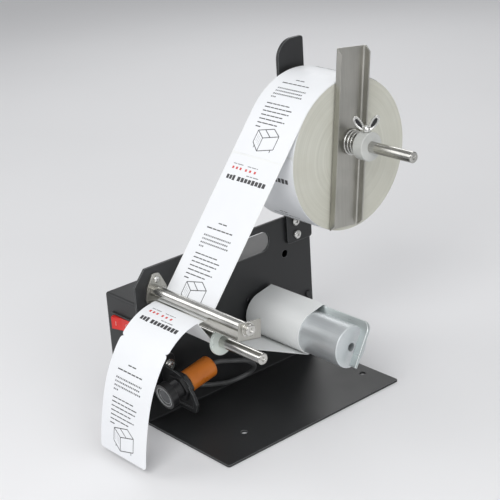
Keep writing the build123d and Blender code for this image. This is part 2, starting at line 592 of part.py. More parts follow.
def make_drum():
    body = rod(DRUM_R, DRUM_LEFT, DRUM_RIGHT, DRUM_Y, DRUM_Z, 0.5)
    body -= bar(SHAFT_R + HOLE_GAP, DRUM_LEFT, DRUM_LEFT + DRUM_HUB, DRUM_Y, DRUM_Z)
    body -= bar(DRUM_BORE_R, DRUM_LEFT + DRUM_HUB, DRUM_RIGHT, DRUM_Y, DRUM_Z)
    low = CLIP_LEG_LOW - HOLE_GAP
    slot = make_face(Polyline((DRUM_LEFT, low), (DRUM_LEFT, CLIP_LEG_HIGH), (DRUM_RIGHT, CLIP_LEG_HIGH),
                              (DRUM_RIGHT, low), close=True))
    return body - extrude(drum_plane(CLIP_THICK + HOLE_GAP) * slot, amount=CLIP_THICK + 2 * HOLE_GAP)


def wound_outline(round_r, corner_r):
    """The paper's outline: round the drum, and pulled straight over the clip's leg."""
    turn = radians(CLIP_ANGLE)
    edges = Circle(round_r).edges()
    for across in (0, CLIP_THICK):
        y = CLIP_LEG_HIGH * cos(turn) + across * sin(turn)
        z = CLIP_LEG_HIGH * sin(turn) - across * cos(turn)
        edges += (Pos(y, z) * Circle(corner_r)).edges()
    return Pos(DRUM_Y, DRUM_Z) * make_hull(edges)


def make_wound_liner():
    outer = wound_outline(WOUND_R, WOUND_THICK + SHEET_GAP)
    inner = wound_outline(WOUND_R - WOUND_THICK, SHEET_GAP)
    return slab(outer - inner, WOUND_LEFT, WOUND_RIGHT)


def shaft_ends():
    return -SHEET - GEARBOX_DEPTH + 2.0, DRUM_LEFT + DRUM_HUB - 0.5


def make_output_shaft():
    left, right = shaft_ends()
    body = bar(SHAFT_R, left, right, DRUM_Y, DRUM_Z)
    return body - bar(EAR_SHANK_R + HOLE_GAP, right - 10, right, DRUM_Y, DRUM_Z)


def make_drum_screw():
    seat = DRUM_LEFT + DRUM_HUB
    return screw(DRUM_BORE_R - 0.3, 3.0, EAR_SHANK_R, 9.0, seat, DRUM_Y, DRUM_Z)


def make_gearbox():
    y, z = gearbox_axis()
    body = bar(GEARBOX_R, -SHEET - GEARBOX_DEPTH, -SHEET, y, z)
    body += bar(BOSS_R, -SHEET - 2, BOSS_LENGTH, DRUM_Y, DRUM_Z)
    body -= bar(SHAFT_R + HOLE_GAP, shaft_ends()[0], BOSS_LENGTH, DRUM_Y, DRUM_Z)
    for place in motor_screw_places():
        body -= bar(MOTOR_SCREW_R + HOLE_GAP, -SHEET - 6, -SHEET, *place)
    return body


def make_motor():
    y, z = gearbox_axis()
    right = -SHEET - GEARBOX_DEPTH
    body = bar(MOTOR_R, right - MOTOR_LENGTH, right, y, z)
    return fillet(body.edges().sort_by(Axis.X)[:1], 1.5)


def sensor_plane(along):
    """A plane across the sensor at a distance behind its front; local x is x and local y is up."""
    tilt = radians(SENSOR_TILT)
    axis = Vector(0, cos(tilt), sin(tilt))
    origin = Vector(SENSOR_X, SENSOR_Y, SENSOR_Z) + axis * along
    return Plane(origin=origin, x_dir=(-1, 0, 0), z_dir=axis)


def sensor_round(radius, start, end):
    return extrude(sensor_plane(start) * Circle(radius), amount=end - start)


def make_sensor_bezel():
    body = sensor_round(BEZEL_R, 0, BEZEL_THICK)
    body -= sensor_round(LENS_R + BEZEL_LIP + 0.6, 0, BEZEL_LIP)
    body -= sensor_round(LENS_R + HOLE_GAP, BEZEL_LIP, BEZEL_LIP + LENS_THICK)
    return body - sensor_round(BARREL_R + HOLE_GAP, BARREL_START, BEZEL_THICK)


def make_sensor_nut(start):
    body = extrude(sensor_plane(start) * RegularPolygon(SENSOR_NUT_AF / 2, 6, major_radius=False),
                   amount=SENSOR_NUT_THICK)
    return body - sensor_round(BARREL_R + HOLE_GAP, start, start + SENSOR_NUT_THICK)


def make_sensor_cap():
    body = sensor_round(CAP_R, CAP_START, CAP_END)
    body = fillet(body.edges().sort_by(Axis.Y)[-1:], CAP_EDGE)
    return body - sensor_round(BARREL_R + HOLE_GAP, CAP_START, BARREL_END)


def fan_face(inset):
    """The bracket's upright fan; local x counts down towards the side plate's far side."""
    reach = SENSOR_X
    points = ((reach, -6.0), (12.5, -24.0), (-15.0, -24.0), (-19.5, -14.0), (-17.5, -3.0),
              (-11.5, 8.0), (0.0, 14.0), (reach, BRACKET_TAB_HIGH))
    face = make_face(Polyline(*points, close=True))
    face = fillet(face.vertices().sort_by(Axis.X)[:6], 3.5)
    return offset(face, amount=-inset) if inset else face


def make_bracket():
    back = BRACKET_PLACE + BRACKET_SHEET
    fan = extrude(sensor_plane(BRACKET_PLACE) * fan_face(0), amount=BRACKET_SHEET)
    rim = extrude(sensor_plane(BRACKET_PLACE - BRACKET_RIM_HIGH) * (fan_face(0) - fan_face(BRACKET_RIM)),
                  amount=BRACKET_RIM_HIGH)
    keep = Pos(SENSOR_X + 14, SENSOR_Y, SENSOR_Z - 20) * Box(44, 80, 60)
    tab = Pos(0, 0) * make_face(Polyline((BRACKET_PLACE, BRACKET_TAB_LOW), (BRACKET_TAB_BACK, BRACKET_TAB_LOW),
                                         (BRACKET_TAB_BACK, BRACKET_TAB_HIGH), (BRACKET_PLACE, BRACKET_TAB_HIGH),
                                         close=True))
    tab = fillet(tab.vertices().sort_by(Axis.X)[-2:], 4.0)
    leg = slab(Pos(SENSOR_Y, SENSOR_Z) * Rot(0, 0, SENSOR_TILT) * tab, 0, BRACKET_SHEET)
    rim -= sensor_round(SENSOR_NUT_AF / 2 + 2.2, BRACKET_PLACE - BRACKET_RIM_HIGH, BRACKET_PLACE)
    body = fan + (rim & keep) + leg
    body -= sensor_round(BARREL_R + HOLE_GAP, BRACKET_PLACE - 2, back)
    return body - bar(SHANK_R + HOLE_GAP, 0, BRACKET_SHEET, *bracket_screw_place())


def make_bracket_washer():
    x0, x1 = BRACKET_SHEET, BRACKET_SHEET + BRACKET_WASHER_THICK
    place = bracket_screw_place()
    return bar(BRACKET_WASHER_R, x0, x1, *place) - bar(SHANK_R + HOLE_GAP, x0, x1, *place)


def cable_route():
    tilt = radians(SENSOR_TILT)
    start = (SENSOR_X, SENSOR_Y + CAP_END * cos(tilt), SENSOR_Z + CAP_END * sin(tilt))
    return [Vector(*p) for p in (start, *CABLE_POINTS, GROMMET_END)]


def make_cable():
    points = cable_route()
    radii = []
    for before, here, after in zip(points, points[1:], points[2:]):
        a, b = here - before, after - here
        turn = radians(a.get_angle(b))
        radii.append(0.45 * min(a.length, b.length) / tan(turn / 2))
    path = FilletPolyline(*points, radius=radii)
    section = Plane(origin=path @ 0, z_dir=path % 0) * Circle(CABLE_R)
    tube = sweep(section, path=path)
    print("cable bend radii", [round(r, 1) for r in radii], "length", round(path.length, 1))
    print("cable volume", round(tube.volume, 1), "section times length", round(section.area * path.length, 1))
    return tube


def make_grommet():
    """A rubber strain relief that leans towards the cable and is held in the side plate."""
    end = Vector(*GROMMET_END)
    lean = (Vector(*CABLE_POINTS[-1]) - end).normalized()
    nose = extrude(Plane(origin=end, z_dir=-lean) * Circle(GROMMET_R), amount=3.2)
    nose = nose & Pos(5, end.Y, end.Z) * Box(10, 30, 30)
    y, z = end.Y, end.Z
    return nose + bar(GROMMET_FLANGE_R, 0, GROMMET_FLANGE, y, z) + bar(GROMMET_R, -SHEET, 0, y, z) + bar(
        GROMMET_FLANGE_R, -SHEET - GROMMET_FLANGE, -SHEET, y, z)


def make_switch_bezel():
    flange = Pos(SWITCH_X, -SWITCH_FLANGE_T / 2, SWITCH_Z) * Box(SWITCH_FLANGE_W, SWITCH_FLANGE_T, SWITCH_FLANGE_H)
    flange = chamfer(flange.faces().sort_by(Axis.Y)[0].edges(), 0.5)
    depth = SWITCH_BODY_DEPTH
    shell = Pos(SWITCH_X, depth / 2, SWITCH_Z) * Box(SWITCH_BODY_W - 2 * HOLE_GAP, depth, SWITCH_BODY_H - 2 * HOLE_GAP)
    well_w, well_h = 2 * (ROCKER_R + SPIN_GAP), ROCKER_H + 2 * SPIN_GAP
    well_depth = depth - 2 + SWITCH_FLANGE_T
    well = Pos(SWITCH_X, well_depth / 2 - SWITCH_FLANGE_T, SWITCH_Z) * Box(well_w, well_depth, well_h)
    pins = Pos(SWITCH_X, ROCKER_PIVOT_Y, SWITCH_Z) * Cylinder(ROCKER_PIN_R + HOLE_GAP, ROCKER_H + 2 * ROCKER_PIN + 0.1)
    return flange + shell - well - pins


def make_rocker():
    crown = ROCKER_CROWN + ROCKER_PIVOT_Y
    face = make_face(Polyline((-ROCKER_R, -crown), (0, -(ROCKER_DIP + ROCKER_PIVOT_Y)), (ROCKER_R, -crown),
                              (ROCKER_R, 2), (4, 7), (-4, 7), (-ROCKER_R, 2), close=True))
    body = extrude(face & Circle(ROCKER_R), amount=ROCKER_H / 2, both=True)
    body += Cylinder(ROCKER_PIN_R, ROCKER_H + 2 * ROCKER_PIN)
    return Pos(SWITCH_X, ROCKER_PIVOT_Y, SWITCH_Z) * Rot(0, 0, ROCKER_SWING / 2) * body


def board_corners():
    return [(y, z) for y in (BOARD_FRONT + 4, BOARD_BACK - 4) for z in (BOARD_LOW + 4, BOARD_HIGH - 4)]


def make_board():
    right = HOUSING_X + HOUSING_WALL + STANDOFF + BOARD_THICK
    face = outline((BOARD_FRONT, BOARD_LOW), (BOARD_BACK, BOARD_LOW), (BOARD_BACK, BOARD_HIGH), (BOARD_FRONT, BOARD_HIGH))
    return slab(face, right - BOARD_THICK, right)


def make_standoffs():
    left = HOUSING_X + HOUSING_WALL
    return [bar(STANDOFF_R, left, left + STANDOFF, y, z) for y, z in board_corners()]


def make_board_parts():
    face = HOUSING_X + HOUSING_WALL + STANDOFF + BOARD_THICK
    relay = Pos(face + 5, 35, 60) * Box(10, 15, 18)
    chip = Pos(face + 1.2, 58, 55) * Box(2.4, 14, 14)
    cans = [bar(4, face, face + 11, 76, z) for z in (42, 54)]
    terminal = Pos(face + 4.5, 50, 36) * Box(9, 24, 8)
    return [relay, chip, *cans, terminal]


def make_power_jack():
    y0 = BASE_DEPTH - HOUSING_WALL
    body = Pos(SWITCH_X, BASE_DEPTH + 1, JACK_Z) * Rot(90, 0, 0) * Cylinder(JACK_FLANGE_R, 2)
    body += Pos(SWITCH_X, BASE_DEPTH - JACK_DEPTH / 2, JACK_Z) * Rot(90, 0, 0) * Cylinder(JACK_R - HOLE_GAP, JACK_DEPTH)
    body += Pos(SWITCH_X, y0 - 1, JACK_Z) * Rot(90, 0, 0) * Cylinder(JACK_FLANGE_R, 2)
    body -= Pos(SWITCH_X, BASE_DEPTH - 2, JACK_Z) * Rot(90, 0, 0) * Cylinder(3.2, 8)
    return body + Pos(SWITCH_X, BASE_DEPTH - 3, JACK_Z) * Rot(90, 0, 0) * Cylinder(1.0, 8)


save("chassis", make_chassis())
save("housing", make_housing())
save("housing_screws", *[screw(3.8, 2.2, SHANK_R, 8, 0, y, TAB_SCREW_Z) for y in tab_screw_rows()])
save("upright_arm", make_arm())
save("arm_screws", *[screw(PAN_HEAD_R, PAN_HEAD_H, SHANK_R, 9, ARM_THICK, y, z) for y, z in ARM_SCREW_PLACES])
save("arm_nuts", *[nut(NUT_AF, NUT_THICK, SHANK_R + HOLE_GAP, -SHEET, y, z) for y, z in ARM_SCREW_PLACES])
save("spindle", make_spindle())
save("spindle_washer", make_spindle_washer())
save("spindle_nut", nut(SPINDLE_NUT_AF, SPINDLE_NUT_THICK, STUD_R + HOLE_GAP, -SPINDLE_WASHER_THICK,
                        SPINDLE_Y, SPINDLE_Z))
save("roll_core", make_roll(CORE_R, CORE_BORE_R))
save("label_roll", make_roll(ROLL_R, CORE_R + HOLE_GAP))
save("retainer", make_retainer())
save("retainer_spring", make_spring())
save("collar", make_collar())
save("wing_screw", make_wing_screw())
save("peel_bracket", make_peel_bracket())
save("peel_screws", *[screw(EAR_SCREW_R, EAR_SCREW_H, EAR_SHANK_R, 7, BLADE_SHEET, y, z)
                      for y, z in EAR_SCREW_PLACES])
save("peel_nuts", *[nut(EAR_NUT_AF, EAR_NUT_THICK, EAR_SHANK_R + HOLE_GAP, -SHEET, y, z)
                    for y, z in EAR_SCREW_PLACES])
save("upper_rod", make_rod(UPPER_ROD_END, UPPER_ROD_Y, UPPER_ROD_Z))
save("lower_rod", make_rod(LOWER_ROD_END, LOWER_ROD_Y, LOWER_ROD_Z))
save("rod_screws", *[make_rod_screw(y, z) for y, z in rod_axes()])
save("rod_clip", make_rod_clip())
save("guide_disc", make_guide_disc())
save("liner", make_liner())
save("web_labels", make_web_labels())
save("liner_return", make_liner_return())
save("peeled_label", make_peeled_label())
save("drum", make_drum())
save("drum_clip", make_clip())
save("wound_liner", make_wound_liner())
save("output_shaft", make_output_shaft())
save("drum_screw", make_drum_screw())
save("gearbox", make_gearbox())
save("motor_can", make_motor())
save("gearbox_screws", *[screw(MOTOR_HEAD_R, MOTOR_HEAD_H, MOTOR_SCREW_R, 7, 0, *place)
                         for place in motor_screw_places()])
save("sensor_bezel", make_sensor_bezel())
save("sensor_lens", sensor_round(LENS_R, BEZEL_LIP, BEZEL_LIP + LENS_THICK))
save("sensor_barrel", sensor_round(BARREL_R, BARREL_START, BARREL_END))
save("sensor_nuts", make_sensor_nut(BRACKET_PLACE - SENSOR_NUT_THICK), make_sensor_nut(BRACKET_PLACE + BRACKET_SHEET))
save("sensor_cap", make_sensor_cap())
save("sensor_bracket", make_bracket())
save("bracket_washer", make_bracket_washer())
save("bracket_screw", screw(PAN_HEAD_R, PAN_HEAD_H, SHANK_R, 8, BRACKET_SHEET + BRACKET_WASHER_THICK,
                            *bracket_screw_place()))
save("sensor_cable", make_cable())
save("cable_grommet", make_grommet())
save("switch_bezel", make_switch_bezel())
save("rocker", make_rocker())
save("control_board", make_board())
save("board_standoffs", *make_standoffs())
save("board_parts", *make_board_parts())
save("power_jack", make_power_jack())
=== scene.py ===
# %% [markdown]
# # A label dispenser, dressed in Blender
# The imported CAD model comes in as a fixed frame: one object per part, in metres, standing on z = 0. This
# lesson gives each part its finish, and builds in mesh code what sheet metal and round bars can't show: the
# printed labels, the wound paper, screw recesses, the cable. Nothing that is already in place gets moved.

# %% Load the frame
import math
import random
import bmesh
import bpy
import numpy as np
from mathutils import Matrix, Vector


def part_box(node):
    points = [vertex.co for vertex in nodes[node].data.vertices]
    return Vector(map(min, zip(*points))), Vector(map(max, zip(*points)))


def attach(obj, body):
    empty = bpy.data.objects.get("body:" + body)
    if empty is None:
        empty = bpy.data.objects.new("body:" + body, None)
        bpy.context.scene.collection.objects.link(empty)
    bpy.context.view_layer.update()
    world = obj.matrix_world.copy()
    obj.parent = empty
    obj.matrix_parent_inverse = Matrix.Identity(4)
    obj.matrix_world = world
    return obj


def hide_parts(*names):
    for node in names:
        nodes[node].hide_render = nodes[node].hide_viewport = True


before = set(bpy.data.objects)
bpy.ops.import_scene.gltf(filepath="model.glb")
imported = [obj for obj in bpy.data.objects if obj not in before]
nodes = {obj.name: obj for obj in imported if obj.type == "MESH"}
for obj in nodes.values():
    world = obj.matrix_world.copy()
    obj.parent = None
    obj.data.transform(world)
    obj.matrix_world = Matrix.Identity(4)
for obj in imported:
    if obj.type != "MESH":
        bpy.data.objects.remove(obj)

scene = bpy.context.scene
link = scene.collection.objects.link
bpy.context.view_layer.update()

# %% [markdown]
# ## Where things are
# The parts were drawn in millimetres from the side plate's face, the front edge and the base's top. The
# same numbers can be used here if one small function turns them into the frame's metres.

# %% From drawing millimetres to metres
FRAME_X, FRAME_Y, FRAME_Z = 54.5, 105.0, -2.0
SPINDLE_Y, SPINDLE_Z = 194.3, 229.2


def mm(x, y, z):
    """A point of the drawing, in the frame."""
    return Vector(((x - FRAME_X) / 1000, (y - FRAME_Y) / 1000, (z - FRAME_Z) / 1000))


print("spindle axis at", mm(0, SPINDLE_Y, SPINDLE_Z))

# %% [markdown]
# ## Camera
# The camera stands where the photographer's did: in front, to the right and a little above, with a long
# lens and a slight roll. It is set from its direction and not by a Track To constraint, because the roll
# matters.

# %% Camera
AZIMUTH = math.radians(49.50)
ELEVATION = math.radians(21.62)
ROLL = math.radians(-3.726)
CAMERA_AT = (0.81739, -0.71616, 0.58217)
back = Vector((math.sin(AZIMUTH) * math.cos(ELEVATION), -math.cos(AZIMUTH) * math.cos(ELEVATION),
               math.sin(ELEVATION)))
level = (-back).cross(Vector((0, 0, 1))).normalized()
upward = level.cross(-back)
right = math.cos(ROLL) * level + math.sin(ROLL) * upward
up = -math.sin(ROLL) * level + math.cos(ROLL) * upward
camera = bpy.data.objects.new("camera", bpy.data.cameras.new("camera"))
looking = Matrix((right, up, back)).transposed().to_4x4()
camera.matrix_world = Matrix.Translation(CAMERA_AT) @ looking
camera.data.lens = 96.01
camera.data.sensor_width = 36.0
camera.data.clip_start = 0.01
link(camera)
scene.camera = camera
print("camera looks along", -back)

# %% [markdown]
# ## Light
# Soft studio light is a large lamp close by. The big key stands beside the camera, so that it reaches the
# drum past the strip of labels. Weaker ones fill from the left, the right and above, and a small one from
# behind draws the thin light lines on the sheet's edges. Area lamps are used because their size sets how
# soft the shadows are.

# %% Lamps
def lamp(name, place, aim, size, power):
    """A square area lamp at a place, turned to a point."""
    light = bpy.data.lights.new(name, "AREA")
    light.size = size
    light.energy = power
    thing = bpy.data.objects.new(name, light)
    thing.location = place
    thing.rotation_euler = (Vector(aim) - Vector(place)).to_track_quat("-Z", "Y").to_euler()
    link(thing)
    print(name, power, "W")


middle = (0.0, 0.0, 0.14)
lamp("key_light", (0.75, -1.25, 1.35), middle, 0.9, 14.5)
lamp("left_light", (-1.1, -1.1, 1.0), middle, 1.0, 7.0)
lamp("fill_light", (1.6, -0.3, 0.8), middle, 1.0, 6.5)
lamp("top_light", (0.25, 0.35, 1.7), middle, 1.2, 3.5)
lamp("edge_light", (-1.1, 1.1, 0.9), middle, 0.6, 3.0)

# %% World
world = bpy.data.worlds.new("studio")
scene.world = world
world.use_nodes = True
sky = world.node_tree.nodes["Background"]
sky.inputs["Color"].default_value = (0.93, 0.94, 0.96, 1)
sky.inputs["Strength"].default_value = 0.42
scene.view_settings.view_transform = "Standard"
print("world", world.name)

# %% [markdown]
# ## Small helpers for node trees
# A material is a tree of nodes round one Principled BSDF. Writing each link out by hand hides what the
# finish is, so short helpers do it: one adds a node with its settings, two join sockets or nodes, and one
# starts a material with the shader's uniform numbers already set.

# %% Node helpers
def add(tree, kind, **settings):
    """Add a node; a setting is a socket's value if a socket has that name, and otherwise a property."""
    node = tree.nodes.new(kind)
    for key, value in settings.items():
        name = key.replace("_", " ").title()
        if name in node.inputs:
            node.inputs[name].default_value = value
        else:
            setattr(node, key, value)
    return node


def join(tree, source, target):
    tree.links.new(source, target)


def wire(tree, *links):
    """Join nodes; a link is (node, output, node, input)."""
    for source, output, target, entry in links:
        join(tree, source.outputs[output], target.inputs[entry])


def finish(name, color, **numbers):
    """A material with a uniform base colour and uniform shader numbers."""
    made = bpy.data.materials.new(name)
    made.use_nodes = True
    shader = made.node_tree.nodes["Principled BSDF"]
    shader.inputs["Base Color"].default_value = (*color, 1)
    for key, value in numbers.items():
        shader.inputs[key.replace("_", " ").title()].default_value = value
    return made, made.node_tree, shader


def paint(made, *names):
    """Give CAD parts a material."""
    for name in names:
        nodes[name].data.materials.clear()
        nodes[name].data.materials.append(made)
    print(made.name, "on", *names)

# %% [markdown]
# ## Shared effects
# What several finishes have in common is made once, as a node group: the small radius that every real edge
# has, with a mask that lightens edges, partly as wear and partly as a painted highlight, the grain of
# brushed metal, the orange peel of powder paint, the fibre of paper, and faint smudges. Each group puts out
# a value or a normal, and each material sets its own amounts.

# %% A group's frame
def group(name, inputs, outputs=(("Value", "NodeSocketFloat"),)):
    """A node group with named sockets; inputs are (name, value) and outputs are (name, kind)."""
    tree = bpy.data.node_groups.new(name, "ShaderNodeTree")
    for label, value in inputs:
        kind = "NodeSocketVector" if isinstance(value, tuple) else "NodeSocketFloat"
        socket = tree.interface.new_socket(label, in_out="INPUT", socket_type=kind)
        socket.default_value = value
    for label, kind in outputs:
        tree.interface.new_socket(label, in_out="OUTPUT", socket_type=kind)
    print("group", name)
    return tree, tree.nodes.new("NodeGroupInput"), tree.nodes.new("NodeGroupOutput")


def place(tree, grouped, **values):
    """Put a group into a material's tree with this material's values."""
    node = tree.nodes.new("ShaderNodeGroup")
    node.node_tree = grouped
    for key, value in values.items():
        node.inputs[key.replace("_", " ").capitalize()].default_value = value
    return node

# %% Rounded edges
# Edge is a mask of the rounded edges; the finishes use it to lighten their edges, partly as wear and partly
# as a painted highlight.
soft_edge, given, made = group("rounded edge", [("Radius", 0.0006), ("Wear", 1.0)],
                               [("Normal", "NodeSocketVector"), ("Edge", "NodeSocketFloat")])
rounded = add(soft_edge, "ShaderNodeBevel", samples=6)
surface = add(soft_edge, "ShaderNodeNewGeometry")
match = add(soft_edge, "ShaderNodeVectorMath", operation="DOT_PRODUCT")
amount = add(soft_edge, "ShaderNodeMapRange", from_min=0.995, from_max=0.8)
scaled = add(soft_edge, "ShaderNodeMath", operation="MULTIPLY", use_clamp=True)
wire(soft_edge, (given, "Radius", rounded, "Radius"), (rounded, "Normal", match, 0),
     (surface, "Normal", match, 1), (match, "Value", amount, "Value"), (amount, "Result", scaled, 0),
     (given, "Wear", scaled, 1), (rounded, "Normal", made, "Normal"), (scaled, "Value", made, "Edge"))

# %% Grain along one direction
grain, given, made = group("grain", [("Stretch", (1.0, 1.0, 1.0)), ("Scale", 2000.0), ("Blur", 0.5)])
spot = add(grain, "ShaderNodeTexCoord")
stretched = add(grain, "ShaderNodeVectorMath", operation="MULTIPLY")
streaks = add(grain, "ShaderNodeTexNoise", detail=4.0)
wire(grain, (spot, "Object", stretched, 0), (given, "Stretch", stretched, 1),
     (stretched, "Vector", streaks, "Vector"), (given, "Scale", streaks, "Scale"),
     (given, "Blur", streaks, "Roughness"), (streaks, "Fac", made, "Value"))

# %% Cloudy variation, for smudges and uneven tone
cloud, given, made = group("cloud", [("Scale", 20.0)])
spot = add(cloud, "ShaderNodeTexCoord")
blotch = add(cloud, "ShaderNodeTexNoise", detail=3.0)
limits = add(cloud, "ShaderNodeMapRange", interpolation_type="SMOOTHSTEP", from_min=0.3, from_max=0.7)
wire(cloud, (spot, "Object", blotch, "Vector"), (given, "Scale", blotch, "Scale"),
     (blotch, "Fac", limits, "Value"), (limits, "Result", made, "Value"))

# %% Rings round an axis along x, for wound paper and turned faces
rings, given, made = group("rings", [("Centre", (0.0, 0.0, 0.0)), ("Scale", 2000.0)])
spot = add(rings, "ShaderNodeTexCoord")
moved = add(rings, "ShaderNodeVectorMath", operation="SUBTRACT")
flat = add(rings, "ShaderNodeVectorMath", operation="MULTIPLY")
flat.inputs[1].default_value = (0, 1, 1)
far = add(rings, "ShaderNodeVectorMath", operation="LENGTH")
radial = add(rings, "ShaderNodeCombineXYZ")
slow = add(rings, "ShaderNodeVectorMath", operation="MULTIPLY_ADD")
slow.inputs[1].default_value = (0.0, 0.006, 0.006)
turns_noise = add(rings, "ShaderNodeTexNoise", detail=3.0)
wire(rings, (spot, "Object", moved, 0), (given, "Centre", moved, 1), (moved, "Vector", flat, 0),
     (flat, "Vector", far, 0), (far, "Value", radial, "X"), (flat, "Vector", slow, 0),
     (radial, "Vector", slow, 2), (slow, "Vector", turns_noise, "Vector"),
     (given, "Scale", turns_noise, "Scale"), (turns_noise, "Fac", made, "Value"))

# %% Two colours by a value
def blend_colors(tree, value, first, second):
    """Two colours mixed by a value socket."""
    mix = add(tree, "ShaderNodeMix", data_type="RGBA")
    mix.inputs["A"].default_value = (*first, 1)
    mix.inputs["B"].default_value = (*second, 1)
    join(tree, value, mix.inputs["Factor"])
    return mix.outputs["Result"]


def toward(tree, factor, base, color):
    """A colour socket that turns to a fixed colour by a value socket."""
    mix = add(tree, "ShaderNodeMix", data_type="RGBA")
    mix.inputs["B"].default_value = (*color, 1)
    join(tree, factor, mix.inputs["Factor"])
    join(tree, base, mix.inputs["A"])
    return mix.outputs["Result"]


def spread(tree, value, low, high):
    """A value socket mapped from 0..1 to low..high."""
    node = add(tree, "ShaderNodeMapRange", to_min=low, to_max=high)
    join(tree, value, node.inputs["Value"])
    return node.outputs["Result"]


def relief(tree, shader, height, strength, distance, normal=None):
    """A Bump node in front of the shader's Normal."""
    bump = add(tree, "ShaderNodeBump", strength=strength, distance=distance)
    join(tree, height, bump.inputs["Height"])
    if normal is not None:
        join(tree, normal, bump.inputs["Normal"])
    join(tree, bump.outputs["Normal"], shader.inputs["Normal"])

# %% [markdown]
# ## Black powder paint
# The chassis, housing, arm and sensor bracket are folded sheet, sprayed with powder and baked. Up close the
# paint has a fine orange peel, and it thins to a slightly lighter line along the edges; that line is partly
# worn paint and partly a painted highlight. The peel is a small noise in the bump, not modelled, because it
# is a tenth of a millimetre deep.

# %% Powder paint
powder, tree, shader = finish("black_powder_paint", (0.02, 0.021, 0.022), roughness=0.46)
edge = place(tree, soft_edge, radius=0.0009, wear=0.9)
peel = place(tree, grain, scale=1400.0, blur=0.6)
tone = place(tree, cloud, scale=9.0)
base = blend_colors(tree, tone.outputs["Value"], (0.0155, 0.0165, 0.0175), (0.0215, 0.0225, 0.0235))
# The lighter edge line: partly worn paint, partly a painted highlight.
worn_and_highlit = toward(tree, edge.outputs["Edge"], base, (0.2, 0.21, 0.212))
join(tree, worn_and_highlit, shader.inputs["Base Color"])
join(tree, spread(tree, tone.outputs["Value"], 0.42, 0.52), shader.inputs["Roughness"])
relief(tree, shader, peel.outputs["Value"], 0.25, 0.00015, edge.outputs["Normal"])
paint(powder, "chassis", "housing", "upright_arm", "sensor_bracket", "housing_screws")

# %% [markdown]
# ## Bright metal
# Seven finishes share one recipe: a metallic base, a grain, and rounded edges, which turn lighter as a
# painted highlight. The rods have dark and light streaks along them, as they show in the photograph, and
# these streaks are painted reflections; the folded blade and retainer keep the mill's upright grain, the
# drum is brushed along its length, and the clip is a little darker with painted bright edges.

# %% Metal recipe
def metal(name, dark, light, rough, stretch, scale, radius=0.0004, metallic=1.0, rim=None):
    """Bright metal; its rounded edges turn to the rim colour, a painted highlight."""
    made, tree, shader = finish(name, light, metallic=metallic, roughness=rough)
    edge = place(tree, soft_edge, radius=radius, wear=1.0)
    lines = place(tree, grain, stretch=stretch, scale=scale, blur=0.6)
    patch = place(tree, cloud, scale=30.0)
    both = add(tree, "ShaderNodeMath", operation="MULTIPLY_ADD")
    both.inputs[1].default_value = 0.6
    join(tree, lines.outputs["Value"], both.inputs[0])
    join(tree, spread(tree, patch.outputs["Value"], 0.0, 0.4), both.inputs[2])
    color = blend_colors(tree, both.outputs["Value"], dark, light)
    join(tree, toward(tree, edge.outputs["Edge"], color, rim or light), shader.inputs["Base Color"])
    join(tree, spread(tree, both.outputs["Value"], rough * 0.8, rough * 1.25), shader.inputs["Roughness"])
    relief(tree, shader, lines.outputs["Value"], 0.1, 0.00005, edge.outputs["Normal"])
    return made


# The rods' dark and light streaks along their length are painted reflections, and their lighter rim is a
# painted highlight.
chrome = metal("ground_rod", (0.16, 0.158, 0.148), (0.86, 0.85, 0.81), 0.2, (0.02, 1.0, 1.0), 420.0,
               metallic=0.95, rim=(0.92, 0.91, 0.88))
paint(chrome, "rod_clip")
zinc = metal("bright_zinc", (0.55, 0.55, 0.53), (0.86, 0.86, 0.84), 0.26, (1.0, 1.0, 1.0), 500.0)
paint(zinc, "arm_nuts", "spindle_washer", "spindle_nut", "peel_nuts", "rod_screws", "drum_screw",
      "bracket_washer", "output_shaft")
stainless = metal("mill_stainless", (0.36, 0.355, 0.325), (0.56, 0.55, 0.51), 0.34, (1.0, 0.9, 0.04), 700.0)
paint(stainless, "retainer", "peel_bracket")
motor = metal("plated_motor", (0.3, 0.3, 0.3), (0.5, 0.5, 0.5), 0.35, (0.05, 1.0, 1.0), 500.0)
paint(motor, "gearbox", "motor_can")
# The drum's and the clip's rim colours are painted highlights on their edges.
aluminium = metal("turned_aluminium", (0.56, 0.59, 0.60), (0.74, 0.77, 0.785), 0.42, (0.02, 1.0, 1.0),
                  900.0, 0.0008, metallic=0.6, rim=(0.9, 0.92, 0.93))
paint(aluminium, "drum")
milled = metal("milled_aluminium", (0.44, 0.49, 0.49), (0.66, 0.71, 0.71), 0.3, (0.04, 1.0, 1.0), 700.0,
               0.0013, metallic=0.8, rim=(0.95, 0.97, 0.97))
paint(milled, "drum_clip")
# Black-oxide screw metal; the wing ears' hollows also take it as painted shade.
black_oxide_and_shade = metal("black_oxide_screw_and_painted_shade", (0.03, 0.03, 0.032), (0.07, 0.07, 0.072), 0.4, (1.0, 1.0, 1.0), 500.0)
paint(black_oxide_and_shade, "gearbox_screws")

# %% [markdown]
# ## Paper and plastic
# Paper is never quite flat or even: a fine fibre in the bump and a faint cloud in the colour are enough.
# The moulded plastics differ in gloss, and the thin nylon disc lets light through.

# %% Paper recipe
def paper(name, dark, light, rough, fibre=0.2):
    made, tree, shader = finish(name, light, roughness=rough)
    fibres = place(tree, grain, scale=2600.0, blur=0.7)
    tone = place(tree, cloud, scale=14.0)
    join(tree, blend_colors(tree, tone.outputs["Value"], dark, light), shader.inputs["Base Color"])
    join(tree, spread(tree, tone.outputs["Value"], rough * 0.9, rough * 1.1), shader.inputs["Roughness"])
    relief(tree, shader, fibres.outputs["Value"], fibre, 0.00006)
    return made


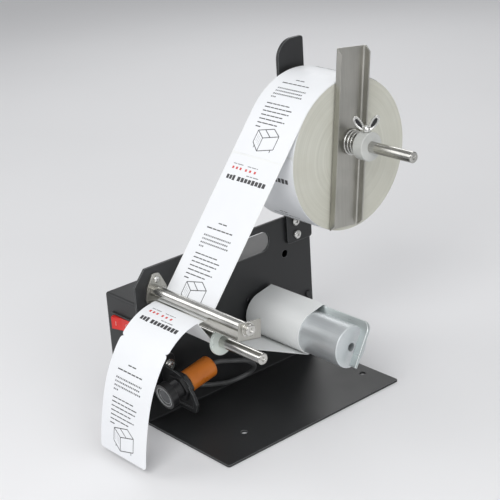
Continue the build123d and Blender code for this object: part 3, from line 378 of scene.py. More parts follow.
label_paper = paper("label_paper", (0.845, 0.86, 0.885), (0.88, 0.895, 0.915), 0.5)
liner_paper = paper("liner_paper", (0.80, 0.815, 0.81), (0.87, 0.88, 0.875), 0.36)
card = paper("core_card", (0.36, 0.26, 0.16), (0.46, 0.34, 0.22), 0.8, 0.4)
paint(label_paper, "web_labels", "peeled_label")
paint(liner_paper, "liner", "liner_return", "wound_liner")
paint(card, "roll_core")

# %% [markdown]
# The roll is one solid with two looks. Its flat sides are hundreds of paper edges, which show as fine
# rings, a little greasy here and there. Round the outside it is liner. The side is told from the outside by
# the normal's direction along the axis, so the same material serves the whole roll.

# %% Wound roll
wound, tree, shader = finish("wound_roll", (0.6, 0.6, 0.53), roughness=0.6)
roll_low, roll_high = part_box("label_roll")
axis_point = tuple((roll_low + roll_high) / 2)
fine = place(tree, rings, centre=axis_point, scale=2600.0)
coarse = place(tree, rings, centre=axis_point, scale=260.0)
tone = place(tree, cloud, scale=26.0)
mixed = add(tree, "ShaderNodeMath", operation="MULTIPLY_ADD")
mixed.inputs[1].default_value = 0.55
join(tree, fine.outputs["Value"], mixed.inputs[0])
join(tree, spread(tree, coarse.outputs["Value"], -0.15, 0.6), mixed.inputs[2])
edges = blend_colors(tree, mixed.outputs["Value"], (0.44, 0.44, 0.375), (0.74, 0.74, 0.67))
greasy = toward(tree, spread(tree, tone.outputs["Value"], 0.0, 0.35), edges, (0.50, 0.49, 0.41))
facing = add(tree, "ShaderNodeNewGeometry")
parts = add(tree, "ShaderNodeSeparateXYZ")
across_axis = add(tree, "ShaderNodeMath", operation="ABSOLUTE")
is_side = add(tree, "ShaderNodeMath", operation="GREATER_THAN")
is_side.inputs[1].default_value = 0.5
both_looks = add(tree, "ShaderNodeMix", data_type="RGBA")
both_looks.inputs["A"].default_value = (0.8, 0.815, 0.81, 1)
wire(tree, (facing, "Normal", parts, "Vector"), (parts, "X", across_axis, 0),
     (across_axis, "Value", is_side, 0), (is_side, "Value", both_looks, "Factor"))
join(tree, greasy, both_looks.inputs["B"])
join(tree, both_looks.outputs["Result"], shader.inputs["Base Color"])
join(tree, spread(tree, tone.outputs["Value"], 0.5, 0.7), shader.inputs["Roughness"])
relief(tree, shader, fine.outputs["Value"], 0.5, 0.0002)
paint(wound, "label_roll")

# %% Plastic recipe
def plastic(name, dark, light, rough, rim=None, radius=0.0005, **numbers):
    """Moulded plastic; its rounded edges turn to the rim colour, partly as wear and partly as a painted
    highlight.
    """
    made, tree, shader = finish(name, light, roughness=rough, **numbers)
    edge = place(tree, soft_edge, radius=radius, wear=0.8)
    texture = place(tree, grain, scale=1200.0, blur=0.5)
    tone = place(tree, cloud, scale=60.0)
    color = blend_colors(tree, tone.outputs["Value"], dark, light)
    join(tree, toward(tree, edge.outputs["Edge"], color, rim or light), shader.inputs["Base Color"])
    join(tree, spread(tree, tone.outputs["Value"], rough * 0.85, rough * 1.15), shader.inputs["Roughness"])
    relief(tree, shader, texture.outputs["Value"], 0.12, 0.00008, edge.outputs["Normal"])
    return made


# The rim colours below lighten the edges, partly as wear and partly as a painted highlight.
grey_plastic = plastic("grey_plastic", (0.52, 0.53, 0.51), (0.6, 0.61, 0.59), 0.42, (0.82, 0.83, 0.81))
black_plastic = plastic("black_plastic", (0.012, 0.012, 0.013), (0.022, 0.022, 0.023), 0.4,
                        (0.06, 0.06, 0.062))
bezel_plastic = plastic("bezel_plastic", (0.012, 0.012, 0.013), (0.02, 0.02, 0.021), 0.35,
                        (0.16, 0.16, 0.16))
orange_plastic = plastic("orange_plastic", (0.50, 0.135, 0.014), (0.62, 0.18, 0.02), 0.3,
                         (0.86, 0.45, 0.18), 0.001)
red_plastic = plastic("red_plastic", (0.62, 0.016, 0.012), (0.72, 0.028, 0.02), 0.22)
lens_plastic = plastic("dark_lens", (0.05, 0.052, 0.055), (0.08, 0.083, 0.088), 0.25, (0.3, 0.3, 0.31))
rim_plastic = plastic("lens_rim_plastic", (0.36, 0.37, 0.37), (0.5, 0.51, 0.51), 0.25, (0.7, 0.71, 0.71))
nylon = plastic("clear_nylon", (0.70, 0.76, 0.72), (0.80, 0.86, 0.81), 0.3, (0.93, 0.97, 0.94),
                transmission_weight=0.25)
white_nylon = plastic("white_nylon", (0.7, 0.7, 0.66), (0.8, 0.8, 0.76), 0.5)
board = plastic("solder_mask", (0.01, 0.10, 0.035), (0.015, 0.14, 0.05), 0.3)
sheath = plastic("cable_sheath", (0.075, 0.077, 0.078), (0.11, 0.113, 0.114), 0.42)
mark_paint = plastic("mark_paint", (0.72, 0.3, 0.28), (0.8, 0.4, 0.37), 0.4)
rubber = plastic("black_rubber", (0.016, 0.016, 0.017), (0.026, 0.026, 0.028), 0.6)
paint(grey_plastic, "collar")
paint(bezel_plastic, "sensor_bezel")
paint(black_plastic, "sensor_nuts", "switch_bezel", "power_jack", "board_parts")
paint(orange_plastic, "sensor_cap")
paint(red_plastic, "rocker")
paint(lens_plastic, "sensor_lens")
paint(nylon, "guide_disc")
paint(white_nylon, "board_standoffs")
paint(board, "control_board")
paint(rubber, "cable_grommet")
print("bare parts:", [n for n, o in nodes.items() if not o.data.materials])

# %% [markdown]
# ## Meshes from numbers
# Sheets, turned parts and print are all closed meshes made from a list of points and a list of faces. One
# helper turns such lists into an object, makes its normals point outwards, rounds its shading except at
# sharp corners, and ties it to the body that carries it.

# %% One closed piece
def solid(name, points, faces, made, body, slot, *stands_for, sharp=35.0):
    """A closed mesh piece in drawing points, riding on a body."""
    mesh = bpy.data.meshes.new(name)
    mesh.from_pydata(points, [], faces)
    shape = bmesh.new()
    shape.from_mesh(mesh)
    bmesh.ops.remove_doubles(shape, verts=shape.verts, dist=1e-7)
    bmesh.ops.recalc_face_normals(shape, faces=shape.faces)
    shape.to_mesh(mesh)
    shape.free()
    mesh.shade_smooth()
    mesh.set_sharp_from_angle(angle=math.radians(sharp))
    mesh.materials.append(made)
    piece = bpy.data.objects.new(name, mesh)
    link(piece)
    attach(piece, body)
    if stands_for:
        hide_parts(*stands_for)
    print(name, len(mesh.polygons), "faces")
    return piece

# %% Rows of points and the faces between them
def net(rows, columns, closed=False):
    """Quads between neighbouring rows; closed joins the last column to the first."""
    faces = []
    wide = columns if closed else columns - 1
    for i in range(rows - 1):
        for j in range(wide):
            k = (j + 1) % columns
            faces.append((i * columns + j, i * columns + k, (i + 1) * columns + k, (i + 1) * columns + j))
    return faces


def slab_faces(rows, columns):
    """Faces of a closed slab whose top net comes first in the points and its bottom net second."""
    top = net(rows, columns)
    under = rows * columns
    faces = top + [tuple(under + v for v in reversed(face)) for face in top]
    rim = [i * columns for i in range(rows)] + [(rows - 1) * columns + j for j in range(1, columns)]
    rim += [i * columns + columns - 1 for i in range(rows - 2, -1, -1)] + list(range(columns - 2, 0, -1))
    for a, b in zip(rim, rim[1:] + rim[:1]):
        faces.append((a, b, under + b, under + a))
    return faces


print(len(slab_faces(3, 4)), "faces in a slab of three rows by four columns")

# %% [markdown]
# ## The way of the strip
# The strip comes over the top of the roll, runs straight down to the bright rod, bends under it, and
# crosses the blade. There the liner turns back and the label goes on alone, in a falling curve. All of that
# is one line in the side view, so each label, each stretch of liner and each bar of print can be placed by
# one distance along it. The line is made from the parts it touches, which the frame gives.

# %% Round parts of the frame
def round_of(node):
    """Axis (y, z) and radius of a round part, in drawing millimetres."""
    low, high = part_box(node)
    return (low.y + high.y) * 500 + FRAME_Y, (low.z + high.z) * 500 + FRAME_Z, (high.z - low.z) * 500


LINER, LABEL, CLEAR = 0.3, 0.25, 0.3
roll_y, roll_z, roll_r = round_of("label_roll")
rod_y, rod_z, rod_r = round_of("upper_rod")
roll_wheel = (roll_y, roll_z, roll_r + CLEAR + LINER)
rod_wheel = (rod_y, rod_z, -(rod_r + CLEAR + LABEL))
edge_wheel = (10.64, 115.76, 1.2)
print("roll radius", round(roll_r, 2), "rod radius", round(rod_r, 2))

# %% Straight runs, arcs and a falling curve
def tangent(first, second):
    """The line from one wheel (y, z, radius) to the next; a negative radius means the other side."""
    dy, dz = second[0] - first[0], second[1] - first[1]
    heading = math.atan2(dz, dy) - math.asin((second[2] - first[2]) / math.hypot(dy, dz))
    side = np.array((-math.sin(heading), math.cos(heading)))
    return np.array(first[:2]) - first[2] * side, np.array(second[:2]) - second[2] * side


def arc(wheel, start, end, count):
    """Points round a wheel, from one point on it to another the short way."""
    middle_point = np.array(wheel[:2])
    a, b = (math.atan2(*(p - middle_point)[::-1]) for p in (start, end))
    b = a + (b - a + math.pi) % (2 * math.pi) - math.pi
    angles = np.linspace(a, b, count)
    return [middle_point + abs(wheel[2]) * np.array((math.cos(t), math.sin(t))) for t in angles]


def falling(points, first_way, last_way, count):
    """A curve that bends smoothly through the points, with given directions at its two ends."""
    points = np.array(points, float)
    knots = np.concatenate(([0], np.cumsum(np.hypot(*np.diff(points, axis=0).T))))
    gap = np.diff(knots)
    system, wanted = np.eye(len(points)), np.zeros((len(points), 2))
    wanted[0], wanted[-1] = first_way, last_way
    for i in range(1, len(points) - 1):
        system[i, i - 1:i + 2] = 1 / gap[i - 1], 2 / gap[i - 1] + 2 / gap[i], 1 / gap[i]
        before, after = points[i] - points[i - 1], points[i + 1] - points[i]
        wanted[i] = 3 * (before / gap[i - 1] ** 2 + after / gap[i] ** 2)
    slope = np.linalg.solve(system, wanted)
    curve = []
    for at in np.linspace(0, knots[-1], count):
        i = min(int(np.searchsorted(knots, at, side="right")) - 1, len(gap) - 1)
        s = (at - knots[i]) / gap[i]
        start = (2 * s ** 3 - 3 * s ** 2 + 1) * points[i] + (s ** 3 - 2 * s ** 2 + s) * gap[i] * slope[i]
        end = (3 * s ** 2 - 2 * s ** 3) * points[i + 1] + (s ** 3 - s ** 2) * gap[i] * slope[i + 1]
        curve.append(start + end)
    return curve

# %% The whole way, and places on it
TOP_ANGLE = math.radians(56.6)
LABEL_CURVE = [(-4.6, 113.4), (-16.5, 106.6), (-26.0, 98.0), (-36.5, 83.5), (-45.0, 66.0), (-51.5, 44.0),
               (-55.5, 24.0), (-57.9, 5.3)]
leave, reach = tangent(roll_wheel, rod_wheel)
bend, peel_edge = tangent(rod_wheel, edge_wheel)
ahead = (peel_edge - bend) / np.hypot(*(peel_edge - bend))
top = np.array((roll_y + roll_wheel[2] * math.cos(TOP_ANGLE), roll_z + roll_wheel[2] * math.sin(TOP_ANGLE)))
strip_line = arc(roll_wheel, top, leave, 80) + arc(rod_wheel, reach, bend, 12)
edge_at = len(strip_line)
strip_line += falling([peel_edge + 0.2 * ahead, *LABEL_CURVE], ahead, (-0.12, -1.0), 160)


def way_of(line):
    """A line with its running length."""
    line = np.array(line)
    return np.concatenate(([0], np.cumsum(np.hypot(*np.diff(line, axis=0).T)))), line


HALF_STEP = 0.4


def on(way, distance, x, height):
    """The frame point at a distance along a way, x across it and a height on its label side.

    The distance has to lie on the way: before its start the direction would be nought by nought.
    """
    run, line = way
    y, z = np.interp(distance, run, line[:, 0]), np.interp(distance, run, line[:, 1])
    near, far = distance - HALF_STEP, distance + HALF_STEP
    dy = np.interp(far, run, line[:, 0]) - np.interp(near, run, line[:, 0])
    dz = np.interp(far, run, line[:, 1]) - np.interp(near, run, line[:, 1])
    size = math.hypot(dy, dz)
    return mm(x, y + height * dz / size, z - height * dy / size)


strip_way = way_of(strip_line)
edge_distance = strip_way[0][edge_at]
print("roll top to peel edge", round(edge_distance, 1), "mm, whole way", round(strip_way[0][-1], 1), "mm")

# %% [markdown]
# ## Labels
# A label is die-cut with round corners. The one that hangs in front also has a nick in each side, where it
# can be folded. Each is a thin closed sheet whose rows of points follow the way, a little narrower at the
# corners and nicks. The liner under them is the same kind of sheet, wider and without corners.

# %% Sheets on the way
LABEL_LENGTH, LABEL_PITCH = 144.5, 146.5
LABEL_LEFT, LABEL_RIGHT = 9.5, 72.5
LABEL_CORNER, NICK_AT = 3.5, 43.0
LINER_LEFT, LINER_RIGHT, ROW_STEP = 8.5, 73.5, 1.5


def corner_inset(distance):
    """How far a round corner pulls the side in at a distance from its end."""
    if distance >= LABEL_CORNER:
        return 0.0
    return LABEL_CORNER - math.sqrt(LABEL_CORNER ** 2 - (LABEL_CORNER - distance) ** 2)


def label_rows(length, nicked):
    """Rows (distance, left, right) of one label."""
    curl = [LABEL_CORNER * (1 - math.cos(math.radians(a))) for a in range(0, 91, 15)]
    marks = curl + [length - c for c in curl]
    if nicked:
        marks += [NICK_AT + c for c in curl] + [NICK_AT - c for c in curl]
    marks = sorted(set(marks) | set(np.arange(5.0, length - 4.0, ROW_STEP)))
    rows = []
    for t in marks:
        nick = corner_inset(abs(t - NICK_AT)) if nicked else 0.0
        inset = max(corner_inset(t), corner_inset(length - t), nick)
        rows.append((t, LABEL_LEFT + inset, LABEL_RIGHT - inset))
    return rows


def sheet_on(way, start, rows, low, high, columns=7):
    """Points and faces of a closed sheet on a way."""
    points = []
    for height in (high, low):
        for t, left, right_side in rows:
            points += [on(way, start + t, x, height) for x in np.linspace(left, right_side, columns)]
    return points, slab_faces(len(rows), columns)

# %% [markdown]
# ## Print
# The print on each label is generic: captions and paragraphs as plain bars, six small red squares, a row of
# dark blocks, and a line drawing of a carton. Ink could be a mask in the paper's material, but slanted
# lines and hundreds of small bars are simpler as real, very thin slabs that bend with the label.

# %% A label's strokes
def words(first, last, t, thick, rng, word=(2.6, 7.0), space=0.9):
    """A line of text as bars (x0, t0, x1, t1, width)."""
    bars, x = [], first
    while x < last - 1.0:
        end = min(x + rng.uniform(*word), last)
        bars.append((x, t, end, t, thick))
        x = end + space
    return bars


CARTON_LINE = 0.75


def carton():
    """A carton in outline, with a tape line over its lid."""
    a, b, c, d = (28.0, 121.0), (46.0, 116.8), (55.0, 122.4), (37.0, 127.0)
    low_a, low_c, low_d = (28.0, 132.5), (55.0, 135.0), (37.0, 139.6)
    pairs = [(a, b), (b, c), (c, d), (d, a), (a, low_a), (c, low_c), (d, low_d), (low_a, low_d),
             (low_d, low_c), ((36.2, 119.1), (45.2, 124.9)), ((31.0, 134.6), (31.0, 137.2)),
             ((52.0, 135.8), (52.0, 138.4))]
    return [(*p, *q, CARTON_LINE) for p, q in pairs]


def label_strokes():
    """All strokes of one label, by ink."""
    rng = random.Random(11)
    black = words(33.0, 45.0, 64.0, 1.0, rng) + words(21.5, 54.5, 70.0, 1.1, rng)
    for k, last in enumerate((58.5, 55.0, 59.0, 29.0)):
        black += words(22.0, last, 77.0 + 3.5 * k, 1.4, rng, (1.0, 1.7))
    for k, last in enumerate((50.5, 56.0, 54.5, 49.0, 54.0, 48.0, 28.0)):
        black += words(22.0, last, 94.5 + 3.85 * k, 0.95, rng, (3.5, 8.0), 0.7)
    for first, last, count in ((16.0, 27.5, 3), (30.0, 66.5, 8)):
        pitch = (last - first) / count
        black += [(first + pitch * k, 21.5, first + pitch * (k + 0.78), 21.5, rng.uniform(3.6, 5.2))
                  for k in range(count)]
    grey = words(17.3, 31.0, 8.6, 0.8, rng) + words(35.4, 48.5, 8.6, 0.8, rng)
    grey += words(39.0, 54.5, 17.0, 0.9, rng)
    grey += [(30.5 + k, 124.6 + 0.7 * k, 30.5 + k, 131.0 + 0.7 * k, 0.25) for k in range(0, 6, 2)]
    red = [(x - 1.2, 12.4, x + 1.2, 12.4, 2.3) for x in (18.9, 23.7, 28.5, 35.6, 40.9, 47.0)]
    return {"black_ink": black + carton(), "grey_ink": grey, "red_ink": red}


strokes = label_strokes()
print({ink: len(bars) for ink, bars in strokes.items()}, "strokes")

# %% Strokes as thin slabs
INK_TOP, INK_FOOT, INK_STEP = 0.03, -0.05, 2.0


def stroke_mesh(way, start, height, bars, longest):
    """Points and faces of all the strokes of one ink that fall within a label's length."""
    points, faces = [], []
    for x0, t0, x1, t1, width in bars:
        if max(t0, t1) > longest - 1:
            continue
        size = math.hypot(x1 - x0, t1 - t0)
        across = np.array((t0 - t1, x1 - x0)) / size * width / 2
        rows = 1 + max(1, math.ceil(size / INK_STEP))
        columns = 1 + max(1, math.ceil(width / INK_STEP))
        first = len(points)
        for level in (INK_TOP, INK_FOOT):
            for s in np.linspace(0, 1, rows):
                for c in np.linspace(-1, 1, columns):
                    x = x0 + s * (x1 - x0) + c * across[0]
                    t = t0 + s * (t1 - t0) + c * across[1]
                    points.append(on(way, start + t, x, height + level))
        faces += [tuple(first + v for v in face) for face in slab_faces(rows, columns)]
    return points, faces

# %% Ink
def ink(name, dark, light):
    made, tree, shader = finish(name, dark, roughness=0.45)
    speck = place(tree, grain, scale=3500.0, blur=0.6)
    join(tree, blend_colors(tree, speck.outputs["Value"], dark, light), shader.inputs["Base Color"])
    return made


inks = {"black_ink": ink("black_ink", (0.02, 0.02, 0.022), (0.07, 0.07, 0.075)),
        "grey_ink": ink("grey_ink", (0.2, 0.2, 0.21), (0.34, 0.34, 0.35)),
        "red_ink": ink("red_ink", (0.55, 0.03, 0.03), (0.75, 0.12, 0.11))}


def label_on(way, start, name, body, length=LABEL_LENGTH, nicked=False, stands_for=(), lift=0.0):
    """One label with its print."""
    rows = label_rows(length, nicked)
    points, faces = sheet_on(way, start, rows, lift, lift + LABEL)
    solid(name, points, faces, label_paper, body, "label_paper", *stands_for)
    for kind, bars in strokes.items():
        points, faces = stroke_mesh(way, start, lift + LABEL, bars, length)
        solid(name + "_" + kind, points, faces, inks[kind], body, "label_paper")

# %% Labels on the strip, and the liner under them
PEELED_START, LINER_END = edge_distance - 3.0, edge_distance - 5.6
label_on(strip_way, 0.0, "upper_label", "machine", stands_for=("web_labels",))
label_on(strip_way, LABEL_PITCH, "lower_label", "machine")
label_on(strip_way, PEELED_START, "hanging_label", "machine", nicked=True, stands_for=("peeled_label",))
liner_rows = [(t, LINER_LEFT, LINER_RIGHT) for t in np.arange(0.0, LINER_END, ROW_STEP)]
points, faces = sheet_on(strip_way, 0.0, liner_rows, -LINER, 0.0)
solid("strip_liner", points, faces, liner_paper, "machine", "liner_paper", "liner")

# %% [markdown]
# ## The roll's outer turn
# Under the strip, the roll shows the turn before it, with three labels on it that go round with the roll.
# Their way is a circle. One starts where the photograph shows the top of its print below the strip.

# %% Labels on the roll
FIRST_TAIL, SPARE = math.radians(170.2), 0.05
third = 2 * math.pi / 3
ROLL_LABEL = roll_r * third - (LABEL_PITCH - LABEL_LENGTH)
for k, name in enumerate(("front", "under", "back")):
    angles = np.linspace(FIRST_TAIL + third * k - SPARE, FIRST_TAIL + third * (k + 1) + SPARE, 90)
    round_way = way_of([(roll_y + roll_r * math.cos(a), roll_z + roll_r * math.sin(a)) for a in angles])
    label_on(round_way, SPARE * roll_r, "roll_label_" + name, "supply_roll", length=ROLL_LABEL, lift=-0.02)

# %% [markdown]
# ## The cable
# The sensor's cable leaves its orange cap, sweeps back and to the side, and returns to a grommet in the
# side plate. It is one smooth curve along points taken from the drawing's cable, so the two are about as
# long.

# %% Cable
CABLE_RADIUS = 2.2
cable_route = [(25.6, 56.386, 44.865), (25.6, 62.2, 46.1), (25.6, 71.0, 43.3), (25.6, 80.8, 40.0),
               (25.6, 90.5, 36.9), (25.6, 98.4, 33.6), (24.9, 105.4, 29.0), (22.4, 110.9, 23.4),
               (18.3, 113.2, 17.2), (13.5, 111.2, 11.9), (9.8, 105.4, 8.8), (8.2, 97.3, 8.1),
               (8.2, 87.4, 8.9), (9.6, 76.0, 12.8), (11.2, 65.2, 16.6), (9.6, 57.6, 18.8),
               (5.9, 51.5, 19.9), (2.4, 49.0, 20.2)]
cable_curve = bpy.data.curves.new("cable", "CURVE")
cable_curve.dimensions = "3D"
cable_line = cable_curve.splines.new("NURBS")
cable_line.points.add(len(cable_route) - 1)
for point, spot in zip(cable_line.points, cable_route):
    point.co = (*mm(*spot), 1)
cable_line.order_u = 3
cable_line.use_endpoint_u = True
cable_line.resolution_u = 10
cable_curve.bevel_depth = CABLE_RADIUS / 1000
cable_curve.bevel_resolution = 6
cable_curve.use_fill_caps = True
cable = bpy.data.objects.new("cable", cable_curve)
link(cable)
cable_curve.materials.append(sheath)
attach(cable, "machine")
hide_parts("sensor_cable")

# %% [markdown]
# ## Screws
# A pan-head screw is turned, so it is a profile swung round an axis, and its cross recess is pressed, so a
# tapered cross is cut out of the head. The heads are small, but their dark crosses are what tells a screw
# from a rivet.

# %% Turned forms and cuts
def circle(place_point, radius, height, count):
    """Points round an axis."""
    angles = [2 * math.pi * k / count for k in range(count)]
    return [place_point(radius * math.cos(a), radius * math.sin(a), height) for a in angles]


def turned(profile, place_point, segments=40):
    """Points and faces of a profile (radius, height) swung round an axis, from the axis back to it."""
    points = [place_point(0, 0, profile[0][1])]
    for radius, height in profile[1:-1]:
        points += circle(place_point, radius, height, segments)
    points.append(place_point(0, 0, profile[-1][1]))
    rings = len(profile) - 2
    faces = [tuple(v + 1 for v in face) for face in net(rings, segments, closed=True)]
    last = len(points) - 1
    for k in range(segments):
        follow = (k + 1) % segments
        faces.append((0, 1 + follow, 1 + k))
        faces.append((last, 1 + (rings - 1) * segments + k, 1 + (rings - 1) * segments + follow))
    return points, faces


def hoop(place_point, inner, outer, low, high, segments):
    """Points and faces of a flat ring round an axis; solid merges its last circle with its first."""
    section = ((inner, low), (outer, low), (outer, high), (inner, high), (inner, low))
    points = [p for radius, height in section for p in circle(place_point, radius, height, segments)]
    return points, net(len(section), segments, closed=True)


def carve(piece, points, faces):
    """Cut a closed form out of a piece."""
    mesh = bpy.data.meshes.new("cutter")
    mesh.from_pydata(points, [], faces)
    shape = bmesh.new()
    shape.from_mesh(mesh)
    bmesh.ops.recalc_face_normals(shape, faces=shape.faces)
    shape.to_mesh(mesh)
    shape.free()
    cutter = bpy.data.objects.new("cutter", mesh)
    link(cutter)
    cut = piece.modifiers.new("cut", "BOOLEAN")
    cut.object = cutter
    bpy.context.view_layer.update()
    carved = bpy.data.meshes.new_from_object(piece.evaluated_get(bpy.context.evaluated_depsgraph_get()))
    carved.set_sharp_from_angle(angle=math.radians(30))
    piece.modifiers.clear()
    piece.data = carved
    bpy.data.objects.remove(cutter)

# %% Pan-head screws
def pan_profile(head_r, head_h, shank_r, length):
    """From the crown of the head down to the end of the shank."""
    curve = [(head_r * math.sin(math.radians(a)), head_h * (0.45 + 0.55 * math.cos(math.radians(a))))
             for a in range(15, 91, 15)]
    return [(0, head_h), *curve, (head_r, 0), (shank_r, 0), (shank_r, -length), (0, -length)]


def cross_cutter(place_point, size, depth, top_height, turn):
    """Two crossed wedges."""
    forms = []
    for quarter in (0, math.pi / 2):
        c, s = math.cos(turn + quarter), math.sin(turn + quarter)
        points = []
        mouth = (top_height + 0.5, size, size * 0.24)
        bottom = (top_height - depth, size * 0.55, size * 0.16)
        for height, long, wide in (mouth, bottom):
            for a, b in ((-long, -wide), (long, -wide), (long, wide), (-long, wide)):
                points.append(place_point(a * c - b * s, a * s + b * c, height))
        sides = [(0, 1, 2, 3), (7, 6, 5, 4), (0, 4, 5, 1), (1, 5, 6, 2), (2, 6, 7, 3), (3, 7, 4, 0)]
        forms.append((points, sides))
    return forms


def pan_screws(name, node, places, seat_x, head_r, head_h, shank_r, length):
    """The screws of one node, with cross recesses; each place is (y, z, turn)."""
    points, faces, cutters = [], [], []
    for y, z, turn in places:
        def at(a, b, height, y=y, z=z):
            return mm(seat_x + height, y + a, z + b)
        more, sides = turned(pan_profile(head_r, head_h, shank_r, length), at)
        faces += [tuple(v + len(points) for v in face) for face in sides]
        points += more
        cutters += cross_cutter(at, head_r * 0.52, head_h * 0.62, head_h, math.radians(turn))
    piece = solid(name, points, faces, zinc, "machine", "zinc_hardware", node)
    for form in cutters:
        carve(piece, *form)


pan_screws("arm_pan_screws", "arm_screws", ((190.5, 125.1, 40), (189.5, 138.7, 15)), 3.0,
           4.25, 2.8, 2.0, 9.0)
pan_screws("bracket_pan_screw", "bracket_screw", ((28.529, 47.361, 25),), 2.3, 4.25, 2.8, 2.0, 8.0)
pan_screws("ear_pan_screws", "peel_screws", ((22.7, 133.2, 20), (28.8, 121.6, 50)), 1.5, 2.9, 2.2, 1.5, 7.0)

# %% [markdown]
# ## The sensor's thread
# The barrel is an 18 mm tube with a fine thread all along it. A thread is a helix, so the radius of each
# point goes up and down with its distance along the barrel plus its share of a turn.

# %% Threaded barrel
SENSOR_X, SENSOR_Y, SENSOR_Z = 25.6, 2.0, 33.8
SENSOR_TILT = math.radians(11.5)
PITCH, THREAD_DEPTH, BARREL_R = 1.0, 0.45, 9.0
BARREL_START, BARREL_END = 4.0, 30.0


def on_sensor(a, b, along):
    """A point round the sensor's axis."""
    c, s = math.cos(SENSOR_TILT), math.sin(SENSOR_TILT)
    return mm(SENSOR_X + a, SENSOR_Y + along * c - b * s, SENSOR_Z + along * s + b * c)


def on_thread(a, b, along):
    """A point at the thread's radius, which goes with the distance along and the share of a turn."""
    share = math.atan2(b, a) / (2 * math.pi)
    radius = BARREL_R - THREAD_DEPTH * abs(2 * ((along / PITCH - share) % 1.0) - 1)
    return on_sensor(radius * a, radius * b, along)


levels = np.arange(BARREL_START, BARREL_END + 0.01, PITCH / 4)
tube = [(0, BARREL_START), *((1, level) for level in levels), (0, BARREL_END)]
points, faces = turned(tube, on_thread, 48)
solid("threaded_barrel", points, faces, black_plastic, "machine", "black_plastic", "sensor_barrel")
for name, form in (("bezel_hoop", (9.15, 9.75, -0.25, 0.9)), ("lens_hoop", (6.9, 7.35, 0.75, 1.2))):
    solid(name, *hoop(on_sensor, *form, 64), rim_plastic, "machine", "grey_lens")

# %% [markdown]
# ## The retainer's spring
# The spring is wound from round wire and widens towards the retainer, so that its coils nest when it is
# pressed. It is a small circle carried along a helix whose radius shrinks from one end to the other.

# %% Conical spring
COIL_WIDE, COIL_NARROW, COIL_TURNS, WIRE_R = 11.05, 9.2, 3.6, 0.85
RING_COUNT, RING_POINTS = 150, 10


def span(node):
    """Where a part starts and ends along x, in drawing millimetres."""
    low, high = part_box(node)
    return low.x * 1000 + FRAME_X, high.x * 1000 + FRAME_X


spring_start, spring_end = span("retainer_spring")
first_x, last_x = spring_start + WIRE_R, spring_end - WIRE_R
points = []
for k in range(RING_COUNT):
    share = k / (RING_COUNT - 1)
    a = 2 * math.pi * COIL_TURNS * share
    coil_r = COIL_WIDE + (COIL_NARROW - COIL_WIDE) * share
    for b in np.linspace(0, 2 * math.pi, RING_POINTS, endpoint=False):
        r_here = coil_r + WIRE_R * math.cos(b)
        x_here = first_x + (last_x - first_x) * share + WIRE_R * math.sin(b)
        points.append(mm(x_here, SPINDLE_Y + r_here * math.cos(a), SPINDLE_Z + r_here * math.sin(a)))
faces = net(RING_COUNT, RING_POINTS, closed=True)
faces += [tuple(range(RING_POINTS)), tuple(range(len(points) - 1, len(points) - RING_POINTS - 1, -1))]
solid("conical_spring", points, faces, zinc, "stop_collar", "zinc_hardware", "retainer_spring")

# %% [markdown]
# ## The wing screw
# A wing screw is cast: a round hub with two ears that are hollowed on both faces, so that their rims catch
# the light. The ear is drawn as a flat outline and made thick, then each face is inset and pushed in, and
# the hollows are given the near-black screw metal as painted shade.

# %% Wing screw
WING_TURN = math.radians(45)
COLLAR_TOP = 13.3
wing_x = sum(span("wing_screw")) / 2


def on_wing(a, b, height):
    """A point round the wing screw's axis; a runs along the wings."""
    c, s = math.cos(WING_TURN), math.sin(WING_TURN)
    return mm(wing_x + a * c - b * s, SPINDLE_Y + a * s + b * c, SPINDLE_Z + height)


hub = [(0, 5.3), (2.5, 5.3), (2.5, COLLAR_TOP), (3.6, COLLAR_TOP), (3.9, COLLAR_TOP + 1.2),
       (3.2, COLLAR_TOP + 3.2), (2.4, COLLAR_TOP + 5.2), (1.4, COLLAR_TOP + 5.7), (0, COLLAR_TOP + 5.8)]
points, faces = turned(hub, on_wing, 32)
solid("wing_hub", points, faces, zinc, "wing", "zinc_hardware", "wing_screw", sharp=50)
EAR_OUTLINE = [(0.9, 0.6), (4.6, 0.9), (8.4, 3.6), (11.4, 8.2), (12.4, 12.2), (10.6, 14.8), (7.2, 14.0),
               (4.2, 10.2), (1.6, 5.0)]
EAR_THICK, EAR_RIM, EAR_WALL, EAR_HOLLOW = 2.8, 0.0011, 0.0003, 0.0009
for side, label in ((1, "right"), (-1, "left")):
    ear = bmesh.new()
    front, rear = ([ear.verts.new(on_wing(side * a, b, COLLAR_TOP + h)) for a, h in EAR_OUTLINE]
                   for b in (-EAR_THICK / 2, EAR_THICK / 2))
    caps = [ear.faces.new(front), ear.faces.new(list(reversed(rear)))]
    for k, corner in enumerate(front):
        follow = (k + 1) % len(front)
        ear.faces.new((corner, rear[k], rear[follow], front[follow]))
    bmesh.ops.recalc_face_normals(ear, faces=ear.faces)
    for cap in caps:
        bmesh.ops.inset_region(ear, faces=[cap], thickness=EAR_RIM, depth=0.0)
        bmesh.ops.inset_region(ear, faces=[cap], thickness=EAR_WALL, depth=-EAR_HOLLOW)
    hollows = {tuple(sorted(tuple(v.co) for v in cap.verts)) for cap in caps}
    mesh = bpy.data.meshes.new("ear")
    ear.to_mesh(mesh)
    ear.free()
    points = [tuple(v.co) for v in mesh.vertices]
    faces = [tuple(f.vertices) for f in mesh.polygons]
    piece = solid("wing_ear_" + label, points, faces, zinc, "wing", "zinc_hardware")
    # The hollow faces take the near-black screw metal: painted shade in the recesses.
    piece.data.materials.append(black_oxide_and_shade)
    for face in piece.data.polygons:
        if tuple(sorted(tuple(piece.data.vertices[v].co) for v in face.vertices)) in hollows:
            face.material_index = 1
    soften = piece.modifiers.new("soften", "SUBSURF")
    soften.levels = soften.render_levels = 2

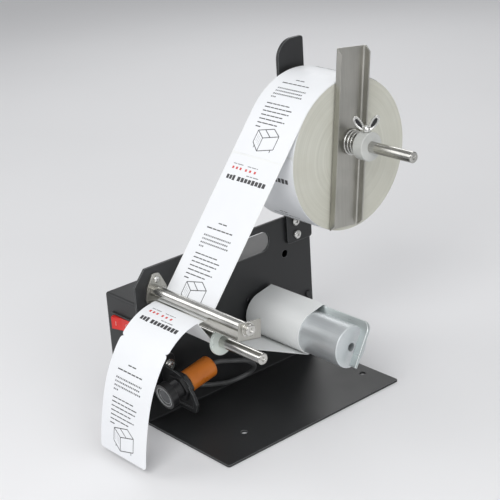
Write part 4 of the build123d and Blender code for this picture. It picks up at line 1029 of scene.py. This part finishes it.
# %% [markdown]
# ## Ground rods
# The three bright rods are turned between centres, so the free end of each has a chamfer and a small
# conical centre hole. They are profiles swung round their axes, like the screws.

# %% Rods with centre holes
CENTRE_HOLE, CENTRE_DEPTH, ROD_CHAMFER = 2.1, 1.6, 0.8
SHOULDER, STUD_R = 3.0, 4.0


def ground_rod(name, node, stud):
    """A round rod along x that stands for a CAD rod; with a stud it is thinner behind its shoulder."""
    start, end = span(node)
    y, z, radius = round_of(node)
    profile = [(0, end - CENTRE_DEPTH), (CENTRE_HOLE * 0.35, end - CENTRE_DEPTH), (CENTRE_HOLE, end),
               (radius - ROD_CHAMFER, end), (radius, end - ROD_CHAMFER)]
    profile += [(radius, SHOULDER), (STUD_R, SHOULDER), (STUD_R, start)] if stud else [(radius, start)]
    profile.append((0, start))
    points, faces = turned(profile, lambda a, b, along: mm(along, y + a, z + b), 56)
    solid(name, points, faces, chrome, "machine", "chrome_rod", node)


for node, stud in (("spindle", True), ("upper_rod", False), ("lower_rod", False)):
    ground_rod("ground_" + node, node, stud)

# %% [markdown]
# ## Marks on the switch
# The rocker carries the two usual signs, a bar for on and a ring for off, moulded a little proud in a paler
# plastic. Any such switch has them.

# %% Switch marks
ROCKER_X, ROCKER_Y, ROCKER_Z = -21.5, 0.5, 91.5
ROCKER_REST = math.radians(11)
FACE_SLOPE = math.atan2(1.4, 12.3)


def on_rocker(offset, a, b, lift):
    """A point on the rocker's face: offset along it, a and b in the face, lift out of it."""
    lean = FACE_SLOPE if offset < 0 else -FACE_SLOPE
    x = offset + a * math.cos(lean) + lift * math.sin(lean)
    y = -3.3 - abs(offset) * math.tan(FACE_SLOPE) + a * math.sin(lean) - lift * math.cos(lean)
    c, s = math.cos(ROCKER_REST), math.sin(ROCKER_REST)
    return mm(ROCKER_X + x * c - y * s, ROCKER_Y + x * s + y * c, ROCKER_Z + b)


MARK_AT, MARK_HIGH, MARK_DEEP = 6.6, 0.12, -0.15
points, faces = hoop(lambda a, b, lift: on_rocker(MARK_AT, a, b, lift), 1.55, 2.1, MARK_DEEP, MARK_HIGH, 32)
solid("off_ring", points, faces, mark_paint, "switch_rocker", "red_rocker")
bar_points = [on_rocker(-MARK_AT, a, b, lift)
              for lift in (MARK_HIGH, MARK_DEEP) for b in (-2.0, 2.0) for a in (-0.32, 0.32)]
solid("on_bar", bar_points, slab_faces(2, 2), mark_paint, "switch_rocker", "red_rocker")

# %% [markdown]
# ## Floor
# A wide pale sheet under the object takes its shadow.

# %% Floor
FLOOR_HALF, FLOOR_Z = 6, -0.0003
FLOOR_DARK, FLOOR_LIGHT = (0.84, 0.84, 0.85), (0.87, 0.87, 0.88)
floor_mesh = bpy.data.meshes.new("floor")
floor_corners = [(x * FLOOR_HALF, y * FLOOR_HALF, FLOOR_Z) for x, y in ((-1, -1), (1, -1), (1, 1), (-1, 1))]
floor_mesh.from_pydata(floor_corners, [], [(0, 1, 2, 3)])
floor = bpy.data.objects.new("floor", floor_mesh)
link(floor)
floor_paint, tree, shader = finish("floor_paper", FLOOR_LIGHT, roughness=0.8)
tone = place(tree, cloud, scale=1.5)
floor_color = blend_colors(tree, tone.outputs["Value"], FLOOR_DARK, FLOOR_LIGHT)
join(tree, floor_color, shader.inputs["Base Color"])
floor_mesh.materials.append(floor_paint)
print("floor", 2 * FLOOR_HALF, "m wide")
